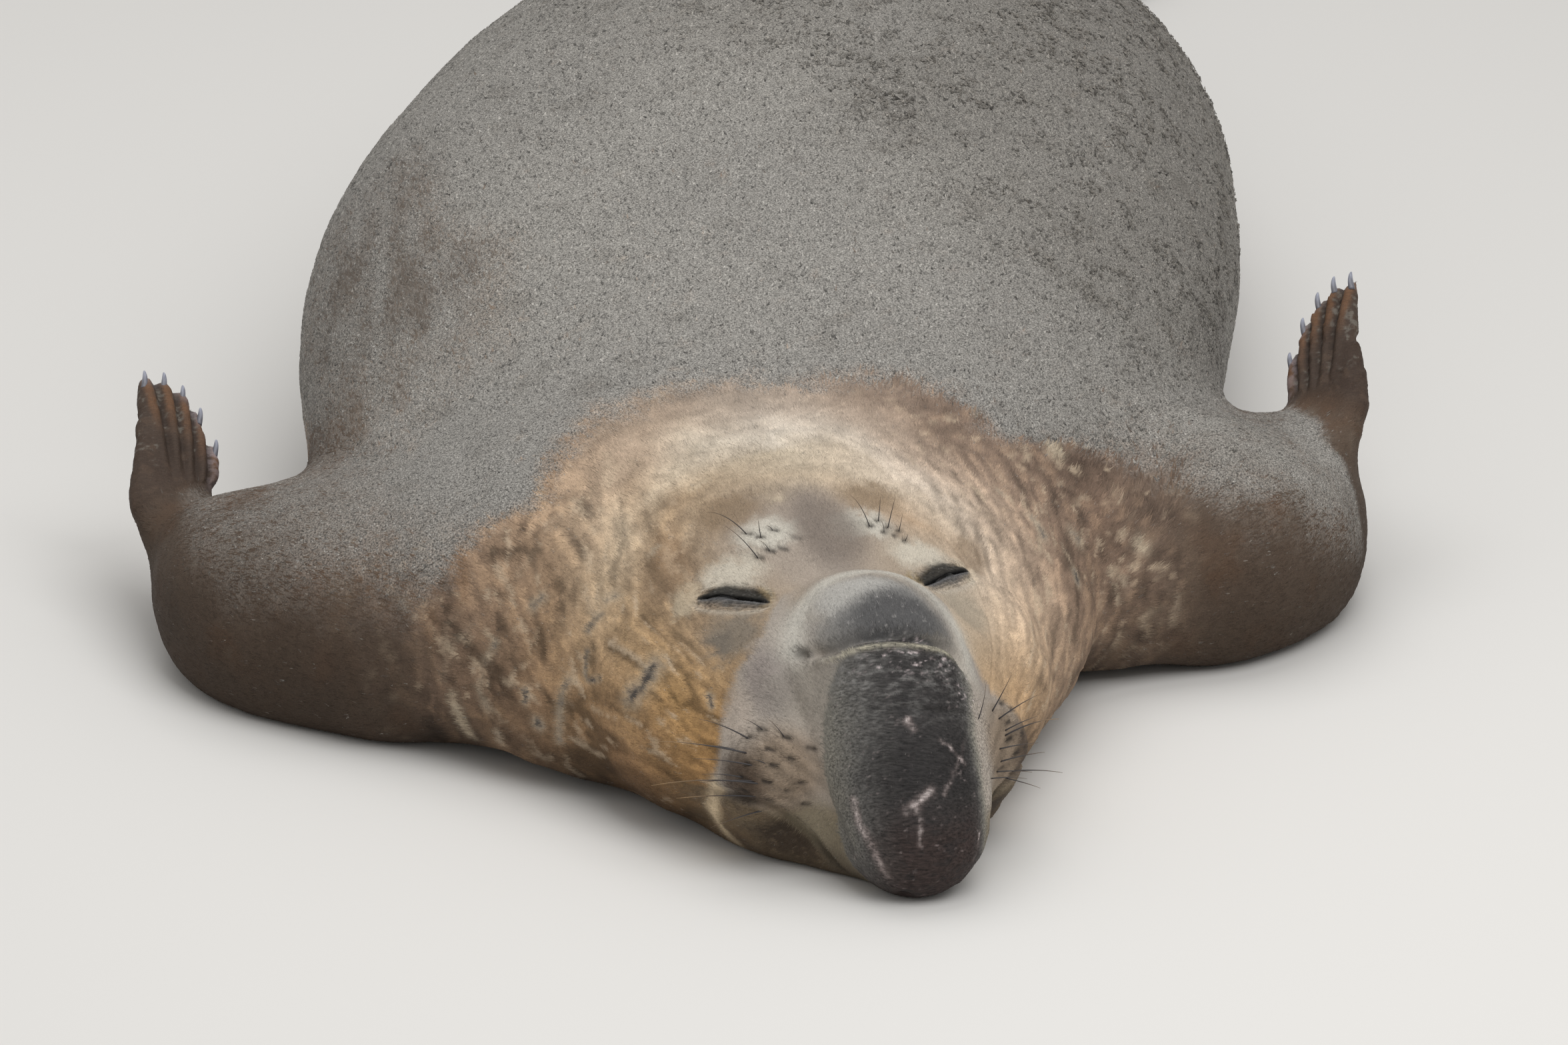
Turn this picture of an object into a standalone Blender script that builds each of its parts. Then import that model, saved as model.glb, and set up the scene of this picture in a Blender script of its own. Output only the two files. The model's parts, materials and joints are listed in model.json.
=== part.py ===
"""Bull elephant seal hauled out on its belly, head and trunk resting on the floor.

Metres, +Z up.  The head faces -Y, so the animal's left side is at +X.  The floor is Z = 0.
The flesh is modelled whole, from lofts and ellipsoids fused by a voxel Remesh, and is then
parted into named nodes with thin cuts.  "Back" below is the distance behind the nose tip.
"""
import math

import bmesh
import bpy
import numpy as np
from mathutils import Matrix, Vector
from mathutils.bvhtree import BVHTree

# ---------------------------------------------------------------- driving dimensions
LENGTH = 4.34            # nose tip to the end of the hind flippers
NOSE_X = 0.168           # the nose tip lies off the centreline, as the head is turned
HEAD_TURN = math.radians(17)
EYE_BACK, EYE_APART, EYE_HEIGHT = 0.364, 0.290, 0.294
EYE_FACING = (0.42, -0.45, 0.79)     # out to its own side, forward and up
EYEBALL_RADIUS = 0.033
LID_THICKNESS = 0.003
LID_SLIT = (0.031, 0.0035, 0.016)    # half sizes along, across and into the slit
SLIT_SLOPE = math.radians(-12)       # turn of the slit about the eye, from level
CUT_GAP = 0.0006         # between two nodes of flesh
CREASE = math.radians(48)
FLAT_SINK = 0.004        # how far the flesh is sunk below the floor before it is cut flat

BODY_VOXEL, LIMB_VOXEL = 0.014, 0.0085
BODY_SMOOTHING, HEAD_SMOOTHING, LIMB_SMOOTHING = 24, 24, 7
FLESH_TRIANGLES = 4200
DETAIL_BIAS = 0.03

CLAW_LENGTH = 0.044
CLAW_RADII = (0.0070, 0.0058, 0.0024)

# Colour and roughness of each node, by the start of its name
COATS = {
    "proboscis": ((0.065, 0.060, 0.058), 0.60),
    "lower_jaw": ((0.075, 0.052, 0.036), 0.75),
    "head": ((0.300, 0.225, 0.150), 0.80),
    "neck": ((0.190, 0.130, 0.088), 0.85),
    "chest": ((0.255, 0.240, 0.216), 0.92),
    "trunk": ((0.255, 0.240, 0.216), 0.92),
    "hips": ((0.210, 0.180, 0.150), 0.88),
    "tail": ((0.110, 0.085, 0.065), 0.80),
    "foreflipper_left_arm": ((0.140, 0.120, 0.100), 0.88),
    "foreflipper_right_arm": ((0.130, 0.105, 0.085), 0.88),
    "foreflipper": ((0.080, 0.060, 0.048), 0.80),
    "hind_flipper": ((0.090, 0.070, 0.055), 0.80),
    "eye": ((0.010, 0.009, 0.009), 0.08),
    "claw": ((0.100, 0.105, 0.120), 0.45),
}


LEFT, RIGHT = 1, -1      # the seal's own sides: its left is at +X
SIDE_NAMES = {LEFT: "left", RIGHT: "right"}


# ---------------------------------------------------------------- small tools
def place(back, x=0.0, z=0.0):
    """A point in the model frame from its distance behind the nose tip."""
    return Vector((x, back - LENGTH / 2, z))


def head_place(lateral, back, z):
    """A point given in the turned head's own frame: lateral is towards the seal's left."""
    c, s = math.cos(HEAD_TURN), math.sin(HEAD_TURN)
    return place(lateral * s + back * c, NOSE_X + lateral * c - back * s, z)


def spline(knots, values):
    """Natural cubic spline through values (rows) at knots, as a function of an array."""
    knots = np.asarray(knots, float)
    values = np.asarray(values, float).reshape(len(knots), -1)
    step = np.diff(knots)
    slope = np.diff(values, axis=0) / step[:, None]
    system = np.eye(len(knots))
    right = np.zeros_like(values)
    for i in range(1, len(knots) - 1):
        system[i, i - 1:i + 2] = step[i - 1], 2 * (step[i - 1] + step[i]), step[i]
        right[i] = 6 * (slope[i] - slope[i - 1])
    bend = np.linalg.solve(system, right)

    def at(t):
        t = np.asarray(t, float)
        i = np.clip(np.searchsorted(knots, t) - 1, 0, len(step) - 1)
        a = (knots[i + 1] - t)[:, None]
        b = (t - knots[i])[:, None]
        h = step[i][:, None]
        return (
            (bend[i] * a**3 + bend[i + 1] * b**3) / (6 * h)
            + (values[i] / h - bend[i] * h / 6) * a
            + (values[i + 1] / h - bend[i + 1] * h / 6) * b
        )

    return at


def add_object(name, mesh):
    obj = bpy.data.objects.new(name, mesh)
    bpy.context.scene.collection.objects.link(obj)
    return obj


def skin_rings(name, rings):
    """A closed tube through rings, an array of (rings, points, 3)."""
    count, around = rings.shape[:2]
    bm = bmesh.new()
    verts = [[bm.verts.new(p) for p in ring] for ring in rings]
    for low, high in zip(verts, verts[1:]):
        for i in range(around):
            j = (i + 1) % around
            bm.faces.new((low[i], low[j], high[j], high[i]))
    bm.faces.new(verts[0][::-1])
    bm.faces.new(verts[-1])
    bmesh.ops.recalc_face_normals(bm, faces=bm.faces)
    mesh = bpy.data.meshes.new(name)
    bm.to_mesh(mesh)
    bm.free()
    return add_object(name, mesh)


def tube(name, centres, side_radii, up_radii, up=(0, 0, 1), rings=28, around=28, power=2.0):
    """A tapered limb along a spline of centres, with rounded ends.

    Its section is a superellipse with side_radii across `up` and up_radii along it.
    """
    centres = np.array([tuple(c) for c in centres], float)
    reach = np.concatenate([[0], np.cumsum(np.linalg.norm(np.diff(centres, axis=0), axis=1))])
    path = spline(reach, centres)
    sizes = spline(reach, np.column_stack([side_radii, up_radii]))
    t = reach[-1] * (1 - np.cos(np.linspace(0, math.pi, rings))) / 2
    points, size = path(t), np.maximum(sizes(t), 0.002)
    tangent = np.gradient(points, t, axis=0)
    tangent /= np.linalg.norm(tangent, axis=1)[:, None]
    side = np.cross(tangent, np.array(up, float))
    side /= np.linalg.norm(side, axis=1)[:, None]
    rise = np.cross(side, tangent)
    angle = np.linspace(0, 2 * math.pi, around, endpoint=False)
    c = np.sign(np.cos(angle)) * np.abs(np.cos(angle)) ** (2 / power)
    s = np.sign(np.sin(angle)) * np.abs(np.sin(angle)) ** (2 / power)
    # The ends close over the last radius, as a half ellipsoid does.
    end = np.minimum(t, reach[-1] - t) / np.maximum(size.min(axis=1), 1e-4)
    size = size * np.sqrt(np.clip(1 - (1 - np.clip(end, 0, 1)) ** 2, 0.0025, 1))[:, None]
    ring = (
        points[:, None]
        + side[:, None] * (size[:, :1] * c)[..., None]
        + rise[:, None] * (size[:, 1:] * s)[..., None]
    )
    return skin_rings(name, ring)


def blob(name, centre, radii, turn=0.0, pitch=0.0, roll=0.0, subdivisions=4):
    """An ellipsoid, turned about Z, then pitched about its own X and rolled about its own Y."""
    mesh = bpy.data.meshes.new(name)
    bm = bmesh.new()
    bmesh.ops.create_icosphere(bm, subdivisions=subdivisions, radius=1.0)
    bm.transform(
        Matrix.Translation(centre)
        @ Matrix.Rotation(turn, 4, "Z")
        @ Matrix.Rotation(pitch, 4, "X")
        @ Matrix.Rotation(roll, 4, "Y")
        @ Matrix.Diagonal((*radii, 1))
    )
    bm.to_mesh(mesh)
    bm.free()
    return add_object(name, mesh)


def head_blob(name, lateral, back, z, radii, turn=0.0, pitch=0.0, roll=0.0):
    return blob(name, head_place(lateral, back, z), radii, HEAD_TURN + turn, pitch, roll)


def evaluated(obj, name):
    """A new object that holds obj's mesh with its modifiers applied; obj is removed."""
    bpy.context.view_layer.update()
    graph = bpy.context.evaluated_depsgraph_get()
    mesh = bpy.data.meshes.new_from_object(obj.evaluated_get(graph))
    mesh.name = name
    bpy.data.objects.remove(obj)
    return add_object(name, mesh)


def fuse(name, objects, voxel, smoothing):
    """One closed surface round all the objects, its creases filled by smoothing."""
    bm = bmesh.new()
    for obj in objects:
        bm.from_mesh(obj.data)
        bpy.data.objects.remove(obj)
    mesh = bpy.data.meshes.new(name)
    bm.to_mesh(mesh)
    bm.free()
    whole = add_object(name + "_parts", mesh)
    remesh = whole.modifiers.new("fuse", "REMESH")
    remesh.mode = "VOXEL"
    remesh.voxel_size = voxel
    smooth = whole.modifiers.new("blend", "SMOOTH")
    smooth.factor = 0.5
    smooth.iterations = smoothing
    return evaluated(whole, name)


# ---------------------------------------------------------------- trunk and neck
# back, centre x, half width, top, height of the widest level
TRUNK_STATIONS = (
    (0.26, 0.060, 0.16, 0.22, 0.09),
    (0.35, 0.010, 0.285, 0.28, 0.10),
    (0.46, -0.045, 0.395, 0.335, 0.11),
    (0.60, -0.095, 0.490, 0.385, 0.12),
    (0.76, -0.095, 0.525, 0.415, 0.14),
    (0.95, -0.060, 0.570, 0.455, 0.16),
    (1.20, -0.035, 0.620, 0.535, 0.20),
    (1.50, -0.025, 0.653, 0.611, 0.24),
    (1.84, 0.010, 0.644, 0.650, 0.245),
    (2.20, 0.050, 0.600, 0.630, 0.235),
    (2.60, 0.095, 0.515, 0.550, 0.21),
    (3.00, 0.140, 0.405, 0.440, 0.18),
    (3.35, 0.175, 0.295, 0.330, 0.14),
    (3.65, 0.200, 0.190, 0.225, 0.10),
    (3.84, 0.210, 0.100, 0.150, 0.075),
)
BELLY_POWER = 3.0        # how square the underside is, where the blubber spreads on the floor


def trunk():
    keys = np.array(TRUNK_STATIONS)
    at = spline(keys[:, 0], keys[:, 1:])
    back = np.linspace(keys[0, 0], keys[-1, 0], 72)
    centre_x, half, top, widest = at(back).T
    angle = np.linspace(0, 2 * math.pi, 72, endpoint=False)
    c, s = np.cos(angle), np.sin(angle)
    power = np.where(s < 0, BELLY_POWER, 2.05)
    across = np.sign(c) * np.abs(c) ** (2 / power)
    rise = np.sign(s) * np.abs(s) ** (2 / power)
    x = centre_x[:, None] + half[:, None] * across
    over = widest[:, None] + (top - widest)[:, None] * rise
    under = widest[:, None] * (1 + rise)
    z = np.where(s >= 0, over, under)
    y = np.broadcast_to((back - LENGTH / 2)[:, None], x.shape)
    return skin_rings("trunk_loft", np.stack([x, y, z], axis=-1))


# ---------------------------------------------------------------- head
def eye_spot(side):
    """The point of the head's surface over an eye."""
    return head_place(side * EYE_APART / 2, EYE_BACK, EYE_HEIGHT)


def eye_normal(side):
    out, back, up = EYE_FACING
    return (head_place(side * out, back, up) - head_place(0, 0, 0)).normalized()


def head_masses():
    """The big forms of the head, in the head's own frame."""
    made = [
        head_blob("cranium", 0, 0.52, 0.185, (0.27, 0.28, 0.175)),
        head_blob("forehead", 0, 0.41, 0.195, (0.200, 0.165, 0.135)),
        head_blob("jaw", 0, 0.335, 0.062, (0.205, 0.225, 0.115)),
        head_blob("chin", 0, 0.185, 0.040, (0.105, 0.105, 0.070)),
        tube(
            "nose",
            [head_place(lateral, b, z) for lateral, b, z in
             ((0.00, 0.37, 0.205), (0.01, 0.28, 0.228), (0.018, 0.20, 0.208), (0.020, 0.128, 0.145),
              (0.016, 0.073, 0.075), (0.012, 0.045, -0.01))],
            (0.118, 0.122, 0.112, 0.108, 0.098, 0.070),
            (0.120, 0.124, 0.108, 0.094, 0.084, 0.074),
            up=head_place(0, 0, 1) - head_place(0, 0.35, 0),
            power=2.3,
        ),
    ]
    for side in (-1, 1):
        made += [
            head_blob("cheek", side * 0.155, 0.43, 0.14, (0.145, 0.21, 0.145)),
            head_blob("brow", side * 0.118, 0.425, 0.250, (0.092, 0.088, 0.066)),
            head_blob("pad", side * 0.118, 0.232, 0.120, (0.085, 0.118, 0.092),
                      turn=side * math.radians(14), pitch=math.radians(-14)),
            head_blob("nose_side", side * 0.100, 0.31, 0.185, (0.100, 0.14, 0.112)),
            head_blob("cheek_fill", side * 0.135, 0.375, 0.155, (0.120, 0.155, 0.125)),
            blob("lids", eye_spot(side) - eye_normal(side) * 0.026, (0.040, 0.040, 0.040)),
        ]
    return made


# ---------------------------------------------------------------- limbs

# Of each forelimb: the arm's centre line from the shoulder to the wrist, as (back, x, z); the
# hand's reach to its longest tip; and the direction in which its digits fan out, first to fifth.
FORELIMBS = {
    LEFT: dict(
        arm=((0.94, 0.34, 0.15), (1.04, 0.52, 0.115), (1.13, 0.625, 0.115),
             (1.20, 0.678, 0.155), (1.26, 0.705, 0.195)),
        wrist=(1.17, 0.738, 0.205),
        reach=(0.29, 0.000, 0.105),
        fan=(0.42, -0.54, -0.32),
    ),
    RIGHT: dict(
        arm=((0.82, -0.36, 0.14), (0.81, -0.54, 0.105), (0.88, -0.665, 0.10),
             (0.965, -0.735, 0.115), (1.04, -0.768, 0.135)),
        wrist=(0.97, -0.812, 0.145),
        reach=(0.285, -0.005, 0.100),
        fan=(0.42, 0.54, -0.15),
    ),
}
ARM_SIDE_RADII = (0.30, 0.260, 0.200, 0.124, 0.072)
ARM_UP_RADII = (0.20, 0.185, 0.150, 0.105, 0.060)
ARM_POWER = 2.5

# Of each digit, first to fifth: length as a share of the longest, and angle in the fan
FORE_DIGITS = ((0.97, -2.5), (1.01, -1.2), (0.97, 0.0), (0.86, 1.2), (0.68, 2.5))
HIND_DIGITS = ((1.00, -14), (0.86, -7), (0.80, 0), (0.86, 7), (1.00, 14))
FORE_DIGIT_RADII = (0.028, 0.018, 0.0145)
HIND_DIGIT_RADII = (0.050, 0.036, 0.032)
FORE_KNUCKLE_STEP, HIND_KNUCKLE_STEP = 0.022, 0.033
FORE_WEB, HIND_WEB = (0.90, 0.010), (0.97, 0.014)     # reach as a share, half thickness


def arm(side):
    points = [place(b, x, z) for b, x, z in FORELIMBS[side]["arm"]]
    return tube("arm", points, ARM_SIDE_RADII, ARM_UP_RADII, power=ARM_POWER)


def digit_lines(root, reach, fan, digits, step):
    """The root and tip of each digit, and the normal of the hand's back."""
    length = reach.length
    along = reach.normalized()
    across = (fan - along * fan.dot(along)).normalized()
    back_of_hand = along.cross(across)
    if back_of_hand.z < 0:
        back_of_hand.negate()
    lines = []
    for number, (share, angle) in enumerate(digits):
        turn = math.radians(angle)
        start = root + across * (number - 2) * step
        heading = along * math.cos(turn) + across * math.sin(turn)
        lines.append((start, start + heading * length * share))
    return lines, back_of_hand


def paddle(root, reach, fan, digits, radii, step, web):
    """A webbed hand or foot: a tube for each digit, and a thin web between each two."""
    lines, normal = digit_lines(root, reach, fan, digits, step)
    web_reach, thin = web
    rise = normal * radii[0] * 0.35
    made = []
    for start, tip in lines:
        made.append(tube("digit", (start, (start + tip) / 2 + rise, tip), radii,
                         [r * 0.85 for r in radii], up=normal, rings=16, around=16))
    for (start, tip), (next_start, next_tip) in zip(lines, lines[1:]):
        near = (start + next_start) / 2
        far = near.lerp((tip + next_tip) / 2, web_reach)
        width = max((tip - next_tip).length / 2, step * 0.6)
        made.append(tube("web", (near, (near + far) / 2 + rise * 0.8, far),
                         (step * 0.8, width * 0.8, width * 0.9), (thin * 1.6, thin, thin * 0.9),
                         up=normal, rings=14, around=16))
    broad = step * 2 + radii[0] * 0.7
    made.append(tube("palm", (root - reach * 0.2, root + reach * 0.16, root + reach * 0.5),
                     (broad * 0.75, broad, broad * 0.8), (broad * 0.6, broad * 0.5, thin * 1.8),
                     up=normal, rings=16))
    return made


def digit_hull(side):
    """The line that a hand's digits lie along, from the wrist to the tips."""
    wrist = place(*FORELIMBS[side]["wrist"])
    return wrist, wrist + place(*FORELIMBS[side]["reach"]) - place(0)


def hand(side):
    limb = FORELIMBS[side]
    reach = place(*limb["reach"]) - place(0)
    fan = place(*limb["fan"]) - place(0)
    return paddle(place(*limb["wrist"]), reach, fan, FORE_DIGITS,
                  FORE_DIGIT_RADII, FORE_KNUCKLE_STEP, FORE_WEB)


# The hind feet lie on the floor behind the tail, each as a wide fan.
FOOT_ROOT = (3.72, 0.135, 0.075)     # back, offset from the tail's line, height
FOOT_REACH = (0.53, 0.205, -0.020)
TAIL_X, TAIL_HALF_WIDTH = 0.205, 0.052


def foot(side):
    back, off, z = FOOT_ROOT
    root = place(back, TAIL_X + side * off, z)
    run, out, drop = FOOT_REACH
    reach = Vector((side * out, run, drop))
    fan = Vector((-side * 0.93, 0.15, 0.30))
    ankle = tube("ankle",
                 (place(back - 0.30, TAIL_X - 0.01 + side * off * 0.7, 0.11),
                  place(back - 0.1, TAIL_X + side * off * 0.9, 0.085),
                  root + reach * 0.15),
                 (0.13, 0.095, 0.075), (0.10, 0.070, 0.050))
    return [ankle, *paddle(root, reach, fan, HIND_DIGITS, HIND_DIGIT_RADII, HIND_KNUCKLE_STEP, HIND_WEB)]


def tail():
    line = (place(3.66, TAIL_X - 0.005, 0.10), place(3.84, TAIL_X, 0.085), place(3.95, TAIL_X + 0.008, 0.07))
    return tube("tail", line, (0.085, 0.055, 0.022), (0.055, 0.038, 0.018))


# ---------------------------------------------------------------- assembly
def clear_scene():
    for obj in list(bpy.data.objects):
        bpy.data.objects.remove(obj)


def neck_masses():
    """The fold of the nape behind the head, and the breast that fills in front of each arm."""
    return [
        head_blob("nape", 0, 0.66, 0.185, (0.39, 0.30, 0.215)),
        blob("breast", place(0.93, 0.40, 0.10), (0.20, 0.22, 0.15)),
        blob("breast", place(0.69, -0.46, 0.09), (0.21, 0.20, 0.14)),
    ]


def flesh():
    body = fuse("body", [trunk(), *neck_masses(), arm(LEFT), arm(RIGHT)], BODY_VOXEL, BODY_SMOOTHING)
    head = fuse("head_mass", head_masses(), LIMB_VOXEL, HEAD_SMOOTHING)
    limbs = [*hand(LEFT), *hand(RIGHT), *foot(LEFT), *foot(RIGHT), tail()]
    return fuse("flesh", [body, head, *limbs], LIMB_VOXEL, LIMB_SMOOTHING)


def off_line(point, start, end):
    """The distance of a point from a line segment."""
    run = end - start
    share = min(max((point - start).dot(run) / run.length_squared, 0.0), 1.0)
    return (point - start - run * share).length


def thin_out(whole):
    """Fewer triangles, with the most of them kept on the head, the hands and the feet."""
    detail = whole.vertex_groups.new(name="plain")
    head = head_place(0, 0.20, 0.15)
    hands = [digit_hull(side) for side in (LEFT, RIGHT)]
    feet = place(4.05, TAIL_X, 0.06)
    for vertex in whole.data.vertices:
        near = max(
            1.00 - max((vertex.co - head).length - 0.20, 0) / 0.25,
            0.80 - max(min(off_line(vertex.co, *line) for line in hands) - 0.06, 0) / 0.04,
            0.72 - max((vertex.co - feet).length - 0.30, 0) / 0.2,
        )
        detail.add([vertex.index], 1 - 0.9 * min(max(near, 0.0), 1.0), "REPLACE")
    decimate = whole.modifiers.new("thin", "DECIMATE")
    decimate.ratio = FLESH_TRIANGLES / (2 * len(whole.data.polygons))
    decimate.use_collapse_triangulate = True
    decimate.vertex_group = detail.name
    decimate.vertex_group_factor = DETAIL_BIAS
    return evaluated(whole, "thinned")


# ---------------------------------------------------------------- parting
def one_side(source, name, point, normal):
    """A copy of source's part on the side that normal points to, closed over the cut."""
    bm = bmesh.new()
    bm.from_mesh(source.data)
    geometry = bm.verts[:] + bm.edges[:] + bm.faces[:]
    bmesh.ops.bisect_plane(bm, geom=geometry, dist=1e-6, plane_co=point, plane_no=normal, clear_inner=True)
    rim = [edge for edge in bm.edges if edge.is_boundary]
    bmesh.ops.triangle_fill(bm, use_beauty=True, use_dissolve=False, edges=rim)
    bmesh.ops.recalc_face_normals(bm, faces=bm.faces)
    mesh = bpy.data.meshes.new(name)
    bm.to_mesh(mesh)
    bm.free()
    return add_object(name, mesh)


def part_at(source, front_name, back_name, point, normal):
    """Parts source at a plane with a thin gap; normal points from the first piece to the second."""
    normal = normal.normalized()
    gap = normal * CUT_GAP / 2
    first = one_side(source, front_name, point - gap, -normal)
    second = one_side(source, back_name, point + gap, normal)
    bpy.data.objects.remove(source)
    return first, second


def boolean(obj, cutter, operation):
    change = obj.modifiers.new(cutter.name, "BOOLEAN")
    change.operation = operation
    change.object = cutter
    change.solver = "EXACT"
    return evaluated(obj, obj.name)


def box(name, low, high):
    """A box between two corners given in the head's frame as (lateral, back, z)."""
    bm = bmesh.new()
    bmesh.ops.create_cube(bm, size=1)
    for vert in bm.verts:
        vert.co = head_place(*[(a + b) / 2 + (b - a) * t for a, b, t in zip(low, high, vert.co)])
    bmesh.ops.recalc_face_normals(bm, faces=bm.faces)
    mesh = bpy.data.meshes.new(name)
    bm.to_mesh(mesh)
    bm.free()
    return add_object(name, mesh)


# ---------------------------------------------------------------- eyes and claws
def slit_axes(side):
    """Unit vectors along the slit of the lids, across it, and out of the eye."""
    out = eye_normal(side)
    level = Vector((0, 0, 1)).cross(out).normalized()
    along = Matrix.Rotation(side * SLIT_SLOPE, 3, out) @ level
    return along, out.cross(along), out


def eye_centre(side, head):
    """The centre of an eyeball that lies one lid's thickness under the head's surface."""
    corners = [p.vertices[:] for p in head.data.polygons]
    tree = BVHTree.FromPolygons([v.co for v in head.data.vertices], corners)
    out = eye_normal(side)
    hit = tree.ray_cast(eye_spot(side) + out * 0.2, -out)[0]
    return hit - out * (EYEBALL_RADIUS + LID_THICKNESS)


def set_eye(side, head):
    """The eyeball in its socket, which opens through the slit between the lids."""
    centre = eye_centre(side, head)
    along, across, out = slit_axes(side)
    socket = blob("socket", centre, [EYEBALL_RADIUS + 0.0005] * 3, subdivisions=3)
    slit = blob("slit", (0, 0, 0), LID_SLIT, subdivisions=3)
    turn = Matrix((along, across, out)).transposed().to_4x4()
    slit.data.transform(Matrix.Translation(centre + out * EYEBALL_RADIUS) @ turn)
    head = boolean(head, socket, "DIFFERENCE")
    head = boolean(head, slit, "DIFFERENCE")
    bpy.data.objects.remove(socket)
    bpy.data.objects.remove(slit)
    eye = blob("eye_" + SIDE_NAMES[side], centre, [EYEBALL_RADIUS] * 3, subdivisions=3)
    return head, eye


def claw(name, start, tip, normal, swell=0.0):
    """A claw on the back of a digit's end, curving down to a blunt point."""
    along = (tip - start).normalized()
    root = tip - along * CLAW_LENGTH * 0.74 + normal * FORE_DIGIT_RADII[2] * 0.62
    middle = root + along * CLAW_LENGTH * 0.5 + normal * 0.004
    end = root + along * CLAW_LENGTH - normal * 0.002
    radii = [r + swell for r in CLAW_RADII]
    return tube(name, (root, middle, end + along * swell), radii, radii, up=normal, rings=6, around=6)


def set_claws(side, flesh_hand):
    """Five claws, each let into the end of its digit."""
    limb = FORELIMBS[side]
    reach = place(*limb["reach"]) - place(0)
    fan = place(*limb["fan"]) - place(0)
    lines, normal = digit_lines(place(*limb["wrist"]), reach, fan, FORE_DIGITS, FORE_KNUCKLE_STEP)
    claws = []
    for number, (start, tip) in enumerate(lines, 1):
        pocket = claw("pocket", start, tip, normal, swell=0.0006)
        flesh_hand = boolean(flesh_hand, pocket, "DIFFERENCE")
        bpy.data.objects.remove(pocket)
        claws.append(claw(f"claw_{SIDE_NAMES[side]}_{number}", start, tip, normal))
    return flesh_hand, claws


# ---------------------------------------------------------------- nodes
# Planes that part the body from front to back: back, and the names in front of and behind it
BODY_PLANES = (
    (3.60, "hips", "rear"),
    (2.90, "trunk", "hips"),
    (1.42, "chest", "trunk"),
    (0.80, "neck", "chest"),
)
# Of each arm's plane at the shoulder: a point on it and its outward normal, as (back, x)
ARM_PLANES = {LEFT: ((1.42, 0.64), (-0.14, 0.67)), RIGHT: ((1.12, -0.655), (-0.175, -0.52))}
WRIST_NORMAL = (0.60, 0.65, 0.45)    # back, outward, up
NECK_BACK = 0.57                     # where the head ends
NOSE_PLANE = ((0.160, 0.31), (0.062, 0.0))     # two points of it, as (back, z)
JAW_TOP, JAW_END = 0.068, 0.42


def part_flesh(whole):
    """The named nodes of flesh, as a dictionary."""
    floor = Vector((0, 0, FLAT_SINK))
    body = one_side(whole, "body", floor, Vector((0, 0, 1)))
    bpy.data.objects.remove(whole)
    nodes = {}
    for side, name in SIDE_NAMES.items():
        (back, x), (n_back, n_x) = ARM_PLANES[side]
        body, limb = part_at(body, "body", "limb", place(back, x), Vector((n_x, n_back, 0)))
        reach = place(*FORELIMBS[side]["reach"]) - place(0)
        n_back, n_out, n_up = WRIST_NORMAL
        wrist = place(*FORELIMBS[side]["wrist"]) + reach * 0.2
        nodes[f"foreflipper_{name}_arm"], nodes[f"foreflipper_{name}_hand"] = part_at(
            limb, "arm", "hand", wrist, Vector((side * n_out, n_back, n_up)))
    for back, front_name, back_name in BODY_PLANES:
        body, nodes[back_name] = part_at(body, "body", back_name, place(back), Vector((0, 1, 0)))
    head_back = head_place(0, 1, 0) - head_place(0, 0, 0)
    head, nodes["neck"] = part_at(body, "head", "neck", head_place(0, NECK_BACK, 0), head_back)
    (high_back, high_z), (low_back, low_z) = NOSE_PLANE
    slope = head_place(0, high_z - low_z, low_back - high_back) - head_place(0, 0, 0)
    nodes["proboscis"], head = part_at(head, "proboscis", "head", head_place(0, high_back, high_z), slope)
    jaw_cuts = (("lower_jaw", "INTERSECT", -CUT_GAP / 2), ("head", "DIFFERENCE", CUT_GAP / 2))
    for name, operation, grow in jaw_cuts:
        copy = add_object(name, head.data.copy())
        cutter = box("cutter", (-0.4, -0.2, -0.1), (0.4, JAW_END + grow, JAW_TOP + grow))
        nodes[name] = boolean(copy, cutter, operation)
        bpy.data.objects.remove(cutter)
    bpy.data.objects.remove(head)
    rear = nodes.pop("rear")
    for side, name in SIDE_NAMES.items():
        point = place(3.8, TAIL_X + side * TAIL_HALF_WIDTH)
        rear, nodes["hind_flipper_" + name] = part_at(rear, "tail", "foot", point, Vector((side, 0, 0)))
    nodes["tail"] = rear
    return nodes


def dress(objects):
    """Gives each node its name, its material and round shading."""
    for name, obj in objects.items():
        obj.name = obj.data.name = name
        colour, roughness = COATS[next(key for key in COATS if name.startswith(key))]
        material = bpy.data.materials.new("mat_" + name)
        material.use_nodes = True
        shader = material.node_tree.nodes["Principled BSDF"]
        shader.inputs["Base Color"].default_value = (*colour, 1)
        shader.inputs["Roughness"].default_value = roughness
        shader.inputs["Metallic"].default_value = 0.0
        obj.data.materials.clear()
        obj.data.materials.append(material)
        for polygon in obj.data.polygons:
            polygon.use_smooth = True
        obj.data.set_sharp_from_angle(angle=CREASE)


def stand(objects):
    """Sets the model on the floor, with the middle of its bounding box over the origin."""
    points = np.array([v.co for obj in objects.values() for v in obj.data.vertices])
    low, high = points.min(axis=0), points.max(axis=0)
    shift = Vector((-(low[0] + high[0]) / 2, -(low[1] + high[1]) / 2, -low[2]))
    for obj in objects.values():
        obj.data.transform(Matrix.Translation(shift))
    return shift


def main():
    clear_scene()
    nodes = part_flesh(thin_out(flesh()))
    for side, name in SIDE_NAMES.items():
        nodes["head"], nodes["eye_" + name] = set_eye(side, nodes["head"])
        hand_name = f"foreflipper_{name}_hand"
        nodes[hand_name], claws = set_claws(side, nodes[hand_name])
        nodes.update({obj.name: obj for obj in claws})
    dress(nodes)
    return stand(nodes)


if __name__ == "__main__":
    main()
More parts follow.
